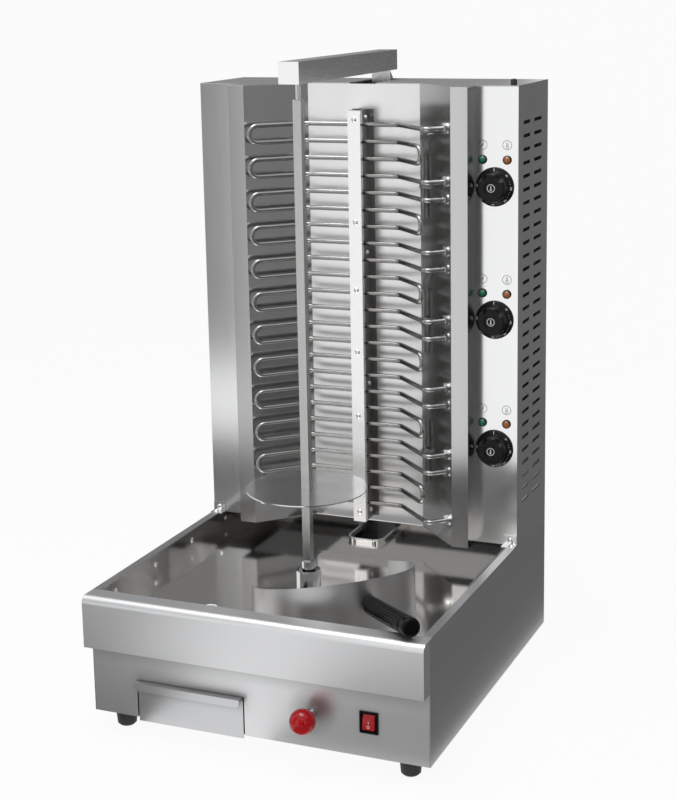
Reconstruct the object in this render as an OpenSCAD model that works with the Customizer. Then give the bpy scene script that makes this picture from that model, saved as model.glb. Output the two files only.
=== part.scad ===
// Electric vertical kebab grill: a stainless base box with a polished drip tray, a tower of
// tube elements in front of a folded reflector, and a turning spit held by an overhead arm.
// Millimetres, +Z up, +Y to the back, origin on the floor at the middle of the whole outline.

/* [Base box] */
// Width of the base box
base_w = 500; // [480:2:540]
// Depth of the base box
base_d = 530; // [525:1:560]
// Height of the base box without its feet
base_h = 176; // [172:1:200]
// Thickness of the outer stainless sheet
sheet_t = 1.5; // [1.2:0.1:2]
// Width of the flat rim round the tray
rim_w = 12; // [10:0.5:16]
// How far the front apron stands forward
apron_out = 22.8; // [18:0.2:28]
// Height of the front apron
apron_h = 74; // [66:1:80]
// Rounding of the apron's upper front edge
nose_r = 10; // [6:0.5:14]
// Height of the rubber feet
foot_h = 25; // [20:1:32]
// Diameter of the rubber feet
foot_d = 31; // [26:1:38]

/* [Drip tray] */
// Depth of the tray below the rim
tray_depth = 30; // [26:0.5:32]
// Diameter of the drain ring
drain_d = 26; // [24:1:30]
// Inner width of the rear slot for the post
post_slot_w = 56; // [44:1:60]
// Height of the raised collar round the rear slot
collar_h = 6; // [5:0.5:12]

/* [Tower] */
// Height of the tower above the rim
tower_h = 675; // [670:1:720]
// Depth of the tower
tower_d = 150; // [146:1:156]
// Width of each side column
column_w = 65; // [60:1:70]
// Thickness of the reflector sheet
mirror_t = 1.2; // [1:0.1:1.6]
// Width of the flat front strip of each reflector wing
strip_w = 24; // [20:1:28]
// How far the strips stand in front of the columns
strip_out = 35; // [32:1:38]
// Width of each slanting wing of the reflector, seen from the front
wing_w = 72; // [68:1:76]
// Distance of the reflector's middle behind the column fronts
middle_in = 38; // [36:0.5:40]

/* [Heating elements] */
// Diameter of the heater tube
tube_d = 7; // [6:0.5:8]
// Height from one run of tube to the next
run_pitch = 25.2; // [25:0.1:26]
// Number of heating elements, each of four runs
element_n = 6; // [3:3:6]
// Height of the highest run below the tower's top
top_run_drop = 59; // [55:1:64]
// Width of the upright clamp in front of the tubes
clamp_w = 20; // [18:0.5:24]

/* [Spit] */
// Distance from the front panel back to the spit's axis
spit_y = 185; // [180:1:190]
// Width of the square skewer
skewer_w = 12; // [10:0.5:14]
// Diameter of the round plate under the meat
disc_d = 172; // [150:1:195]
// Thickness of the round plate
disc_t = 1.5; // [1.2:0.1:3]
// Height of the round plate above the tray
disc_rise = 150; // [120:1:200]
// Diameter of the drive shaft
shaft_d = 14; // [12:0.5:16]
// Diameter of the cup round the drive socket
cup_d = 37; // [32:0.5:42]
// Diameter of the pin under the arm
pin_d = 7; // [5:0.5:8]

/* [Overhead arm and carriage] */
// Side of the square tube of the arm and the post
arm_w = 30; // [26:1:32]
// Height of the arm above the tower
arm_rise = 14; // [12:1:24]
// How far the arm reaches in front of the spit
arm_reach = 30; // [26:1:40]
// Travel of the carriage towards the front
carriage_travel = 50; // [40:1:52]
// Diameter of the guide rods
rod_d = 10; // [8:0.5:12]
// Diameter of the pull rod
pull_d = 8; // [6:0.5:10]
// Diameter of the ball on the pull rod
ball_d = 35.2; // [28:0.4:40]

/* [Controls] */
// Diameter of the thermostat dials
dial_d = 56; // [50:1:58]
// Height from one dial to the next
dial_pitch = 193; // [180:1:196]
// Width of the rocker switch
switch_w = 26; // [22:0.5:30]
// Height of the rocker switch
switch_h = 30.5; // [28:0.5:36]
// Diameter of the lamps
lamp_d = 13; // [10:0.5:14]

/* [Drawer] */
// Width of the drawer's front
drawer_w = 161; // [140:1:163]
// Height of the drawer's front
drawer_h = 60; // [54:1:64]
// Depth of the drawer from front to back
drawer_d = 300; // [240:5:340]
// How far the pull flange stands forward
pull_out = 12; // [10:0.5:18]

/* [Meat scoop] */
// Radius of the scoop
scoop_r = 115; // [95:1:118]
// Height of the scoop's wall at the handle
scoop_h = 70; // [50:1:76]
// Height of the scoop's wall at its ends
scoop_end_h = 29; // [18:1:34]
// Length of the scoop's handle
grip_len = 124; // [100:1:126]

/* [Hidden] */

$fn = 48;

// Clearances and the overrun of cuts
run_fit = 0.05;      // radial, round turning and sliding shafts
loose_fit = 0.2;     // radial, round fixed screws, rivets and tubes
seat_gap = 0.3;      // between a piece that moves and what it lies on
over = 1;            // how far a cut runs past what it cuts

// Levels, from the surface that the grill stands on
box_z = foot_h;
rim_z = box_z + base_h;
tray_z = rim_z - tray_depth;
tray_low_z = tray_z - mirror_t;
tower_top_z = rim_z + tower_h;
panel_top_z = tower_top_z - sheet_t;

// Plan of the base
side_x = base_w / 2;
rim_x = side_x - rim_w;
tray_front_y = nose_r - sheet_t / 2;
tray_back_y = base_d - 2 * sheet_t;

// Plan of the tower
column_x = side_x - column_w;
column_y = base_d - tower_d;
strip_x = column_x - strip_w;
strip_y = column_y - strip_out;
middle_y = column_y + middle_in;
middle_x = strip_x - wing_w;
wing_angle = atan2(middle_y - strip_y, strip_x - middle_x);
wing_normal = [-sin(wing_angle), -cos(wing_angle)];

// Corners of the reflector's front face from the middle to the right wing's outer end, whose
// sheet stands on the column's front
wing_x = column_x + mirror_t;
wing_path = [[middle_x, middle_y], [strip_x, strip_y], [wing_x, strip_y], [wing_x, column_y]];

// A straight box from one corner to the opposite one
module span(a, b) {
    translate(a)
        cube(b - a);
}

// The same shape on both sides of the middle plane
module both_sides() {
    children();
    mirror([1, 0, 0])
        children();
}

// A flat plate between two heights, with its outline drawn in plan
module plate(z0, z1) {
    translate([0, 0, z0])
        linear_extrude(z1 - z0)
            children();
}

// A cylinder along the Y axis from one depth to another
module bar_y(x, z, y0, y1, d) {
    translate([x, y0, z])
        rotate([-90, 0, 0])
            cylinder(h = y1 - y0, d = d);
}

// A cylinder along the X axis from one side to another
module bar_x(y, z, x0, x1, d) {
    translate([x0, y, z])
        rotate([0, 90, 0])
            cylinder(h = x1 - x0, d = d);
}

// A slot outline with round ends that runs along Y
module slot_outline(w, y0, y1) {
    translate([-w / 2, y0 + w / 2])
        square([w, y1 - y0 - w]);
    translate([0, y0 + w / 2])
        circle(d = w);
    translate([0, y1 - w / 2])
        circle(d = w);
}

// Outline of a sheet of one thickness folded along a path, its body to the left of the path
function unit(v) = v / norm(v);
function left_of(v) = [-v[1], v[0]];
function corner_shift(p, i, t) =
    i == 0 ? t * left_of(unit(p[1] - p[0])) :
    i == len(p) - 1 ? t * left_of(unit(p[i] - p[i - 1])) :
    let (a = left_of(unit(p[i] - p[i - 1])), b = left_of(unit(p[i + 1] - p[i])))
        t * (a + b) / (1 + a * b);
module folded_outline(path, t) {
    last = len(path) - 1;
    polygon(concat(path, [for (i = [last:-1:0]) path[i] + corner_shift(path, i, t)]));
}

// A tube of flat sides that follows straight lines with rounded corners. A ring is a place and
// the direction of the tube there, and each corner is an arc of a few rings.
arc_step = 22.5;
function corner_reach(p, i, r) = (i == 0 || i == len(p) - 1) ? 0 :
    let (u = unit(p[i] - p[i - 1]), v = unit(p[i + 1] - p[i])) r[i] * tan(acos(u * v) / 2);
function corner_rings(p, i, r) =
    let (u = unit(p[i] - p[i - 1]), v = unit(p[i + 1] - p[i]), turn = acos(u * v),
        side = unit(v - u * (u * v)), from = p[i] - u * corner_reach(p, i, r), n = round(turn / arc_step))
        [for (j = [0:n]) let (a = turn * j / n)
            [from + r[i] * (side * (1 - cos(a)) + u * sin(a)), u * cos(a) + side * sin(a)]];
function all_rings(p, r) =
    let (last = len(p) - 1, rings = concat([[p[0], unit(p[1] - p[0])]],
        [for (i = [1:last - 1], ring = corner_rings(p, i, r)) ring], [[p[last], unit(p[last] - p[last - 1])]]))
        [for (i = [0:len(rings) - 1]) if (i == 0 || norm(rings[i][0] - rings[i - 1][0]) > r[1] / 100) rings[i]];
function carried(n, t) = unit(n - t * (n * t));
module bent_rod(path, radii, d, sides, first) {
    rings = all_rings(path, radii);
    last = len(rings) - 1;
    normals = [for (i = 0, n = carried(first, rings[0][1]); i <= last;
        i = i + 1, n = i <= last ? carried(n, rings[i][1]) : n) n];
    points = [for (i = [0:last], j = [0:sides - 1])
        let (a = (j + 1 / 2) * 360 / sides)
            rings[i][0] + d / 2 * (cos(a) * normals[i] + sin(a) * cross(rings[i][1], normals[i]))];
    walls = [for (i = [0:last - 1], j = [0:sides - 1])
        let (k = (j + 1) % sides, a = i * sides, b = (i + 1) * sides)
            each [[a + j, b + j, b + k], [a + j, b + k, a + k]]];
    polyhedron(concat(points), concat(walls, [[for (j = [0:sides - 1]) j]],
        [[for (j = [sides - 1:-1:0]) last * sides + j]]));
}

// Places a shape that points up so that it starts at a point and points along a direction
module aimed(at, direction) {
    u = unit(direction);
    translate(at)
        rotate([0, acos(u[2]), atan2(u[1], u[0])])
            children();
}

// A pan-head screw or rivet head that stands up from its seat, with a shank below it
module headed_pin(head_d, head_h, shank_d, shank_len, recess_w = 0) {
    difference() {
        union() {
            rotate_extrude()
                intersection() {
                    translate([0, head_h - pan_radius(head_d, head_h)])
                        circle(r = pan_radius(head_d, head_h));
                    square([head_d / 2, head_h]);
                }
            if (shank_len > 0)
                translate([0, 0, -shank_len])
                    cylinder(h = shank_len + head_h / 2, d = shank_d);
        }
        if (recess_w > 0)
            for (turn = [0, 90])
                rotate([0, 0, turn])
                    translate([-head_d * cross_len_share / 2, -recess_w / 2, head_h * cross_deep_share])
                        cube([head_d * cross_len_share, recess_w, head_h]);
    }
}
function pan_radius(d, h) = (d * d / 4 + h * h) / (2 * h);
cross_len_share = 0.6;
cross_deep_share = 0.55;

// Base box
apron_z = rim_z - apron_h;
front_hole_gap = 2;
lip_h = 22;
seam_gap = 0.1;
module nose_profile(y0, y1, z0, z1, r) {
    translate([y0, z0])
        square([y1 - y0, z1 - z0 - r]);
    translate([y0 + r, z0])
        square([y1 - y0 - r, z1 - z0]);
    translate([y0 + r, z1 - r])
        circle(r = r);
}
// Turns an outline drawn in depth and height into a bar across the grill
module across(x0, x1) {
    translate([x0, 0, 0])
        rotate([90, 0, 90])
            linear_extrude(x1 - x0)
                children();
}

// Two folded side sheets, and the back sheet behind a narrow seam
module base_shell() {
    side_end_y = base_d - sheet_t - seam_gap;
    color("#c4c6c8")
        difference() {
            union() {
                both_sides() {
                    span([side_x - sheet_t, 0, box_z], [side_x, side_end_y, rim_z]);
                    span([rim_x, tray_front_y, rim_z - sheet_t], [side_x, side_end_y, rim_z]);
                    span([rim_x + mirror_t, tray_front_y, rim_z - lip_h],
                        [rim_x + mirror_t + sheet_t, tray_back_y, rim_z]);
                }
                span([-side_x, base_d - sheet_t, box_z], [side_x, base_d, rim_z]);
            }
            span([-side_x - over, -over, rim_z - sheet_t], [side_x + over, tray_front_y, rim_z + over]);
            rivet_places()
                rotate([0, 90, 0])
                    cylinder(h = 4 * sheet_t, d = rivet_d + 2 * loose_fit, center = true);
            bar_y(gland_x, gland_z, base_d - over - sheet_t, base_d + over, gland_hole_d);
            both_sides()
                foot_screw_place()
                    cylinder(h = 8 * sheet_t, d = screw_d + 2 * loose_fit, center = true);
        }
}

module base_front() {
    color("#c8cacc")
        difference() {
            span([-side_x + sheet_t, 0, box_z], [side_x - sheet_t, sheet_t, rim_z - sheet_t]);
            span([drawer_x - drawer_w / 2 - front_hole_gap, -over, box_z - over],
                [drawer_x + drawer_w / 2 + front_hole_gap, sheet_t + over, drawer_top_z + seat_gap]);
            span([switch_x - switch_w / 2 + switch_lip, -over, switch_z - switch_h / 2 + switch_lip],
                [switch_x + switch_w / 2 - switch_lip, sheet_t + over, switch_z + switch_h / 2 - switch_lip]);
            bar_y(pull_x, pull_z, -over, sheet_t + over, bush_neck_d + 2 * loose_fit);
        }
}

module apron() {
    color("#cccecf")
        difference() {
            across(-side_x, side_x)
                nose_profile(-apron_out, tray_front_y, apron_z, rim_z, nose_r);
            across(-side_x + sheet_t, side_x - sheet_t)
                nose_profile(-apron_out + sheet_t, tray_front_y + over, apron_z + sheet_t,
                    rim_z - sheet_t, nose_r - sheet_t);
            span([-side_x - over, 0, apron_z - over], [side_x + over, tray_front_y + over, rim_z - sheet_t]);
        }
}

module base_floor() {
    color("#a9abad")
        difference() {
            span([-side_x + sheet_t, sheet_t, box_z], [side_x - sheet_t, base_d - sheet_t, box_z + sheet_t]);
            span([drawer_x - drawer_w / 2 - front_hole_gap, -over, box_z - over],
                [drawer_x + drawer_w / 2 + front_hole_gap, 2 * sheet_t, box_z + sheet_t + over]);
            foot_places()
                cylinder(h = 6 * sheet_t, d = foot_screw_d + 2 * loose_fit, center = true);
        }
}

foot_in_x = 36;
foot_in_y = 24;
foot_screw_d = 6;
foot_taper = 2;
foot_edge_r = 3;
foot_recess_d = 14;
foot_recess_h = 8;
module foot_places() {
    for (x = [-side_x + foot_in_x, side_x - foot_in_x], y = [foot_in_y, base_d - foot_in_y])
        translate([x, y, box_z])
            children();
}
module rubber_feet() {
    color("#1b1b1c")
        foot_places()
            rotate_extrude()
                polygon([[foot_recess_d / 2, -foot_h], [foot_d / 2 - foot_taper - foot_edge_r, -foot_h],
                    [foot_d / 2 - foot_taper, -foot_h + foot_edge_r], [foot_d / 2, 0],
                    [0, 0], [0, -foot_h + foot_recess_h], [foot_recess_d / 2, -foot_h + foot_recess_h]]);
}

// Drip tray, with its drain above the drawer
drawer_side_in = 70.5;
drawer_x = -side_x + drawer_side_in + drawer_w / 2;
drain_off = 1;
drain_x = drawer_x + drain_off;
drain_y = 66;
drain_hole_d = 18;
drain_ring_h = 3;
drain_pipe_len = 20;
drain_wall = 1.2;
shaft_slot_gap = 4;
shaft_slot_w = shaft_d + 2 * shaft_slot_gap;
slot_end_gap = 2;
collar_wall = 1.5;
post_back_y = tray_back_y - collar_wall - 2 * slot_end_gap;
post_front_y = post_back_y - arm_w;
post_slot_in = 14;
post_slot_r = 16;
post_slot_front_y = column_y + post_slot_in;
post_slot_back_y = post_back_y + slot_end_gap;
weld_gap = 0.1;
shaft_slot_front_y = spit_y - carriage_travel - shaft_slot_w / 2 - slot_end_gap;
shaft_slot_back_y = spit_y + shaft_slot_w / 2;

// The post's slot, rounded in front and square behind, grown by a margin on every side
module post_slot(grow) {
    half = post_slot_w / 2;
    middle = post_slot_front_y + post_slot_r;
    translate([-half - grow, middle])
        square([post_slot_w + 2 * grow, post_slot_back_y + grow - middle]);
    translate([post_slot_r - half, post_slot_front_y - grow])
        square([post_slot_w - 2 * post_slot_r, 2 * post_slot_r]);
    for (x = [post_slot_r - half, half - post_slot_r])
        translate([x, middle])
            circle(r = post_slot_r + grow);
}

// Two floor sheets that meet at the drain, and four walls that stand on their welds
module tray_pan() {
    wall_x = rim_x + mirror_t;
    wall_low_z = tray_z + weld_gap;
    wall_top_z = rim_z - sheet_t;
    color("#d2d4d6")
        difference() {
            union() {
                span([-wall_x, tray_front_y - mirror_t, tray_low_z], [wall_x, drain_y - weld_gap / 2, tray_z]);
                span([-wall_x, drain_y + weld_gap / 2, tray_low_z], [wall_x, tray_back_y, tray_z]);
                both_sides()
                    span([rim_x, tray_front_y + weld_gap, wall_low_z],
                        [wall_x, tray_back_y - mirror_t - weld_gap, wall_top_z]);
                for (y = [tray_front_y, tray_back_y])
                    span([-wall_x, y - mirror_t, wall_low_z], [wall_x, y, wall_top_z]);
            }
            plate(tray_low_z - over, tray_z + over)
                post_slot(collar_wall + weld_gap);
            plate(tray_low_z - over, tray_z + over)
                slot_outline(shaft_slot_w, shaft_slot_front_y, shaft_slot_back_y);
            translate([drain_x, drain_y, tray_low_z - over])
                cylinder(h = mirror_t + 2 * over, d = drain_hole_d + 2 * drain_wall + 2 * loose_fit);
            rivet_places()
                rotate([0, 90, 0])
                    cylinder(h = 4 * sheet_t, d = rivet_d + 2 * loose_fit, center = true);
        }
    // The collar stands in the slot on its weld
    color("#d2d4d6")
        plate(tray_low_z, tray_z + collar_h)
            difference() {
                post_slot(collar_wall);
                post_slot(0);
            }
}

module drain_ring() {
    color("#b9bbbd")
        translate([drain_x, drain_y, tray_z])
            rotate_extrude()
                polygon([[drain_hole_d / 2, -drain_pipe_len], [drain_hole_d / 2 + drain_wall, -drain_pipe_len],
                    [drain_hole_d / 2 + drain_wall, 0], [drain_d / 2, 0],
                    [drain_d / 2, drain_ring_h / 3], [drain_d / 2 - drain_ring_h / 2, drain_ring_h],
                    [drain_hole_d / 2 + drain_wall, drain_ring_h], [drain_hole_d / 2, drain_ring_h / 2]]);
}

rivet_d = 4;
rivet_head_d = 8;
rivet_head_h = 2.2;
rivet_drop = 16;
rivet_n = 4;
rivet_front_y = 49;
rivet_step_y = 115;
module rivet_places() {
    for (i = [0:rivet_n - 1])
        both_sides()
            translate([rim_x, rivet_front_y + i * rivet_step_y, rim_z - rivet_drop])
                children();
}
module tray_rivets() {
    color("#c0c2c4")
        rivet_places()
            rotate([0, -90, 0])
                headed_pin(rivet_head_d, rivet_head_h, rivet_d, mirror_t + sheet_t);
}

// Drawer
drawer_drop = 5;
drawer_z = box_z - drawer_drop;
drawer_top_z = drawer_z + drawer_h;
drawer_in = 5;
runner_t = 1.5;
runner_w = 14;
runner_h = 16;
pull_lip = 11;
module drawer_front() {
    x0 = drawer_x - drawer_w / 2;
    x1 = drawer_x + drawer_w / 2;
    color("#c6c8ca")
        difference() {
            union() {
                span([x0, 0, drawer_z], [x1, sheet_t, drawer_top_z]);
                span([x0, -pull_out, drawer_top_z - sheet_t], [x1, sheet_t, drawer_top_z]);
                span([x0, -pull_out, drawer_top_z - pull_lip], [x1, -pull_out + sheet_t, drawer_top_z]);
            }
            for (x = [x0, x1])
                translate([x, -pull_out - over, drawer_top_z - pull_lip])
                    rotate([-90, 0, 0])
                        cylinder(h = sheet_t + 2 * over, r = pull_lip / 4);
        }
}

drawer_box_z = box_z + sheet_t + runner_t + seat_gap;
drawer_box_h = 42;
drawer_hem = 6;
module drawer_tray() {
    x0 = drawer_x - drawer_w / 2 + drawer_in;
    x1 = drawer_x + drawer_w / 2 - drawer_in;
    color("#b4b6b8")
        difference() {
            span([x0, sheet_t, drawer_box_z], [x1, sheet_t + drawer_d, drawer_box_z + drawer_box_h]);
            span([x0 + mirror_t, sheet_t + mirror_t, drawer_box_z + mirror_t],
                [x1 - mirror_t, sheet_t + drawer_d - mirror_t, drawer_box_z + drawer_box_h + over]);
            for (x = [x0, x1])
                translate([x, sheet_t + drawer_d, drawer_box_z + drawer_box_h])
                    rotate([45, 0, 0])
                        cube([4 * drawer_hem, drawer_hem, drawer_hem], center = true);
        }
}

module drawer_runners() {
    color("#9c9ea0")
        for (s = [-1, 1])
            translate([drawer_x + s * (drawer_w / 2 - drawer_in), 0, box_z + sheet_t])
                mirror([s > 0 ? 1 : 0, 0, 0]) {
                    span([-seat_gap - runner_t, 2 * sheet_t, 0], [runner_w, drawer_d + 2 * sheet_t, runner_t]);
                    span([-seat_gap - runner_t, 2 * sheet_t, 0],
                        [-seat_gap, drawer_d + 2 * sheet_t, runner_h]);
                    span([-seat_gap - runner_t, drawer_d + sheet_t + seat_gap, 0],
                        [runner_w, drawer_d + 2 * sheet_t + seat_gap, runner_h]);
                }
}

// Carriage, its guides and the drive
rod_x = 60;
rod_drop = 16.5;
rod_z = tray_low_z - rod_drop;
rod_front_y = 60;
rod_back_y = tray_back_y - sheet_t;
block_w = 24;
block_len = 16;
block_under = 10;
bush_len = 30;
gearbox_w = 80;
gearbox_h = 20;
motor_d = 60;
motor_h = 34;
plate_t = 3;
plate_gap = 2;
plate_z = rod_z - block_under - plate_gap;
plate_front = 15;
carriage_front_y = spit_y - gearbox_w / 2 - plate_front;
carriage_w = 140;
bush_in = 5;
bush_post_gap = 20;
bush_front_y = spit_y - gearbox_w / 2 + bush_in;
bush_back_y = post_front_y - bush_len - bush_post_gap;

module guide_rods() {
    color("#d9dadc")
        for (x = [-rod_x, rod_x])
            bar_y(x, rod_z, rod_front_y, rod_back_y, rod_d);
}

module rod_blocks() {
    color("#8f9193")
        difference() {
            for (x = [-rod_x, rod_x], y = [rod_front_y, rod_back_y - block_len])
                span([x - block_w / 2, y, rod_z - block_under], [x + block_w / 2, y + block_len, tray_low_z]);
            for (x = [-rod_x, rod_x])
                bar_y(x, rod_z, rod_front_y - over, rod_back_y + over, rod_d + 2 * run_fit);
        }
}

module carriage_bushes() {
    color("#c9a45a")
        difference() {
            for (x = [-rod_x, rod_x], y = [bush_front_y, bush_back_y])
                span([x - block_w / 2, y, plate_z], [x + block_w / 2, y + bush_len, rod_z + block_under]);
            for (x = [-rod_x, rod_x])
                bar_y(x, rod_z, rod_front_y, rod_back_y, rod_d + 2 * run_fit);
        }
}

lug_y = 150;
lug_t = 6;
lug_w = 22;
pull_x = 83;
pull_rise = 49.5;
pull_z = box_z + pull_rise;
module carriage_plate() {
    color("#a3a5a7")
        difference() {
            union() {
                span([-carriage_w / 2, carriage_front_y, plate_z - plate_t],
                    [carriage_w / 2, post_back_y + slot_end_gap, plate_z]);
                span([carriage_w / 2 - over, lug_y - lug_w / 2, plate_z - plate_t],
                    [pull_x + lug_w / 2, lug_y + lug_w / 2, plate_z]);
                span([pull_x - lug_w / 2, lug_y - lug_t / 2, pull_z - lug_w / 2],
                    [pull_x + lug_w / 2, lug_y + lug_t / 2, plate_z]);
            }
            translate([0, spit_y, plate_z - plate_t - over])
                cylinder(h = plate_t + 2 * over, d = shaft_d + 2 * run_fit);
            bar_y(pull_x, pull_z, lug_y - lug_t, lug_y + lug_t, pull_d + 2 * loose_fit);
        }
}

gear_edge = 8;
gear_flange_h = 4;
module gearbox() {
    z1 = plate_z - plate_t;
    color("#85878a")
        difference() {
            union() {
                span([-gearbox_w / 2, spit_y - gearbox_w / 2, z1 - gear_flange_h],
                    [gearbox_w / 2, spit_y + gearbox_w / 2, z1]);
                translate([0, spit_y, z1 - gearbox_h])
                    linear_extrude(gearbox_h)
                        difference() {
                            square(gearbox_w - gear_edge, center = true);
                            for (turn = [0:90:270])
                                rotate(turn)
                                    translate([gearbox_w / 2, gearbox_w / 2])
                                        rotate(45)
                                            square(2 * gear_edge, center = true);
                        }
            }
            translate([0, spit_y, shaft_low_z])
                cylinder(h = gearbox_h + over, d = shaft_d + 2 * run_fit);
        }
}

motor_rib_n = 12;
motor_rib_deep = 2;
module motor() {
    z1 = plate_z - plate_t - gearbox_h;
    color("#3c3e41")
        translate([0, spit_y, z1 - motor_h])
            difference() {
                cylinder(h = motor_h, d = motor_d);
                for (i = [0:motor_rib_n - 1])
                    rotate([0, 0, i * 360 / motor_rib_n])
                        translate([motor_d / 2 - motor_rib_deep, -motor_rib_deep, motor_h / 5])
                            cube([2 * motor_rib_deep, 2 * motor_rib_deep, motor_h * 3 / 5]);
            }
}

gear_floor = 5;
shaft_low_z = plate_z - plate_t - gearbox_h + gear_floor;
cup_gap = 3;
cup_z = tray_z + cup_gap;
cup_h = 27;
cup_wall = 2.5;
boss_d = 20;
boss_h = 13;
socket_deep = 20;
socket_fit = 0.15;
boss_top_z = cup_z + cup_h + boss_h;
pocket_z = boss_top_z - socket_deep;
pocket_floor = 3;
shaft_top_z = pocket_z - pocket_floor;
module drive_shaft() {
    color("#cfd1d3")
        translate([0, spit_y, shaft_low_z + seat_gap])
            cylinder(h = shaft_top_z - shaft_low_z - seat_gap, d = shaft_d);
}

module drive_socket() {
    color("#dfe1e3")
        translate([0, spit_y, 0])
            difference() {
                union() {
                    translate([0, 0, cup_z])
                        rotate_extrude()
                            difference() {
                                square([cup_d / 2, cup_h]);
                                translate([boss_d / 2, cup_h / 2])
                                    square([cup_d / 2 - cup_wall - boss_d / 2, cup_h]);
                            }
                    translate([0, 0, cup_z + cup_h / 2])
                        cylinder(h = cup_h / 2 + boss_h, d = boss_d);
                }
                translate([0, 0, cup_z - over])
                    cylinder(h = shaft_top_z - cup_z + over, d = shaft_d + run_fit);
                translate([-skewer_w / 2 - socket_fit, -skewer_w / 2 - socket_fit, pocket_z])
                    cube([skewer_w + 2 * socket_fit, skewer_w + 2 * socket_fit, socket_deep + over]);
            }
}

// Spit
pin_show = 22;
pin_in = 24;
spit_lift = 20;
arm_z = tower_top_z + arm_rise;
skewer_low_z = pocket_z + seat_gap;
skewer_top_z = arm_z - pin_show;
disc_z = tray_z + disc_rise;
disc_fit = 0.1;
disc_hub_d = 22;
disc_hub_h = 10;
skewer_tip = 1.5;
module skewer() {
    color("#c2c4c6")
        translate([0, spit_y, 0])
            difference() {
                translate([-skewer_w / 2, -skewer_w / 2, skewer_low_z])
                    cube([skewer_w, skewer_w, skewer_top_z - skewer_low_z]);
                translate([0, 0, skewer_top_z - pin_in - spit_lift - skewer_tip])
                    cylinder(h = pin_in + spit_lift + skewer_tip + over, d = pin_d + 2 * run_fit);
                for (turn = [0:90:270])
                    rotate([0, 0, turn])
                        translate([skewer_w / 2, 0, skewer_top_z])
                            rotate([0, 45, 0])
                                cube([skewer_tip, 2 * skewer_w, skewer_tip], center = true);
            }
}

module meat_disc() {
    color("#b8babc")
        translate([0, spit_y, disc_z])
            difference() {
                union() {
                    cylinder(h = disc_t, d = disc_d, $fn = 96);
                    translate([0, 0, -disc_hub_h])
                        cylinder(h = disc_hub_h + disc_t / 2, d = disc_hub_d);
                }
                translate([-skewer_w / 2 - disc_fit, -skewer_w / 2 - disc_fit, -disc_hub_h - over])
                    cube([skewer_w + 2 * disc_fit, skewer_w + 2 * disc_fit, disc_hub_h + disc_t + 2 * over]);
            }
}

// Overhead arm
arm_t = 2;
arm_front_y = spit_y - arm_reach;
// A square tube outline drawn round its own middle
module tube_outline() {
    difference() {
        square(arm_w, center = true);
        square(arm_w - 2 * arm_t, center = true);
    }
}
module rear_post() {
    color("#b5b7b9")
        difference() {
            translate([0, post_front_y + arm_w / 2, plate_z])
                linear_extrude(arm_z + arm_w - plate_z)
                    tube_outline();
            translate([-arm_w, post_front_y, arm_z])
                rotate([-45, 0, 0])
                    translate([0, -2 * arm_w, 0])
                        cube([2 * arm_w, 4 * arm_w, 2 * arm_w]);
        }
}
module top_arm() {
    color("#bbbdbf")
        difference() {
            translate([0, arm_front_y + arm_t, arm_z + arm_w / 2])
                rotate([-90, 0, 0])
                    linear_extrude(post_back_y - arm_front_y - arm_t)
                        tube_outline();
            translate([-arm_w, post_front_y, arm_z])
                rotate([-45, 0, 0])
                    translate([0, 0, -2 * arm_w])
                        cube([2 * arm_w, 4 * arm_w, 2 * arm_w]);
            translate([0, spit_y, arm_z - over])
                cylinder(h = arm_w, d = pin_d + 2 * loose_fit);
        }
}
module arm_end_cap() {
    color("#cfd1d3")
        translate([-arm_w / 2, arm_front_y, arm_z])
            cube([arm_w, arm_t, arm_w]);
}
module top_pin() {
    color("#d5d7d9")
        translate([0, spit_y, 0]) {
            translate([0, 0, skewer_top_z - pin_in])
                cylinder(h = arm_z + arm_t - skewer_top_z + pin_in, d = pin_d);
            translate([0, 0, arm_z + arm_t])
                cylinder(h = pin_d, d = 2 * pin_d, $fn = 6);
        }
}

// Pull rod with its ball
ball_y = -30;
ball_flat = 1.2;
bush_d = 13;
bush_t = 2;
bush_neck_d = 11;
bush_neck_len = 8;
module pull_rod() {
    color("#cdcfd1") {
        bar_y(pull_x, pull_z, ball_y, lug_y + lug_t + 2 * lug_t, pull_d);
        bar_y(pull_x, pull_z, lug_y - lug_t / 2 - lug_t, lug_y - lug_t / 2, 2 * pull_d);
        translate([pull_x, lug_y + lug_t / 2, pull_z])
            rotate([-90, 0, 0])
                cylinder(h = lug_t, d = 2 * pull_d, $fn = 6);
    }
}
module ball_knob() {
    color("#c3140f")
        translate([pull_x, ball_y, pull_z])
            rotate([-90, 0, 0])
                rotate_extrude($fn = 96)
                    difference() {
                        circle(d = ball_d);
                        translate([-ball_d, -ball_d])
                            square([ball_d, 2 * ball_d]);
                        translate([0, ball_d / 2 - ball_flat])
                            square(ball_d);
                        square([pull_d / 2 + run_fit, ball_d]);
                    }
}
module rod_bush() {
    color("#2b2c2e")
        difference() {
            union() {
                bar_y(pull_x, pull_z, -bush_t, 0, bush_d);
                bar_y(pull_x, pull_z, -bush_t, bush_neck_len, bush_neck_d);
            }
            bar_y(pull_x, pull_z, -bush_t - over, bush_neck_len + over, pull_d + 2 * run_fit);
        }
}

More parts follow.
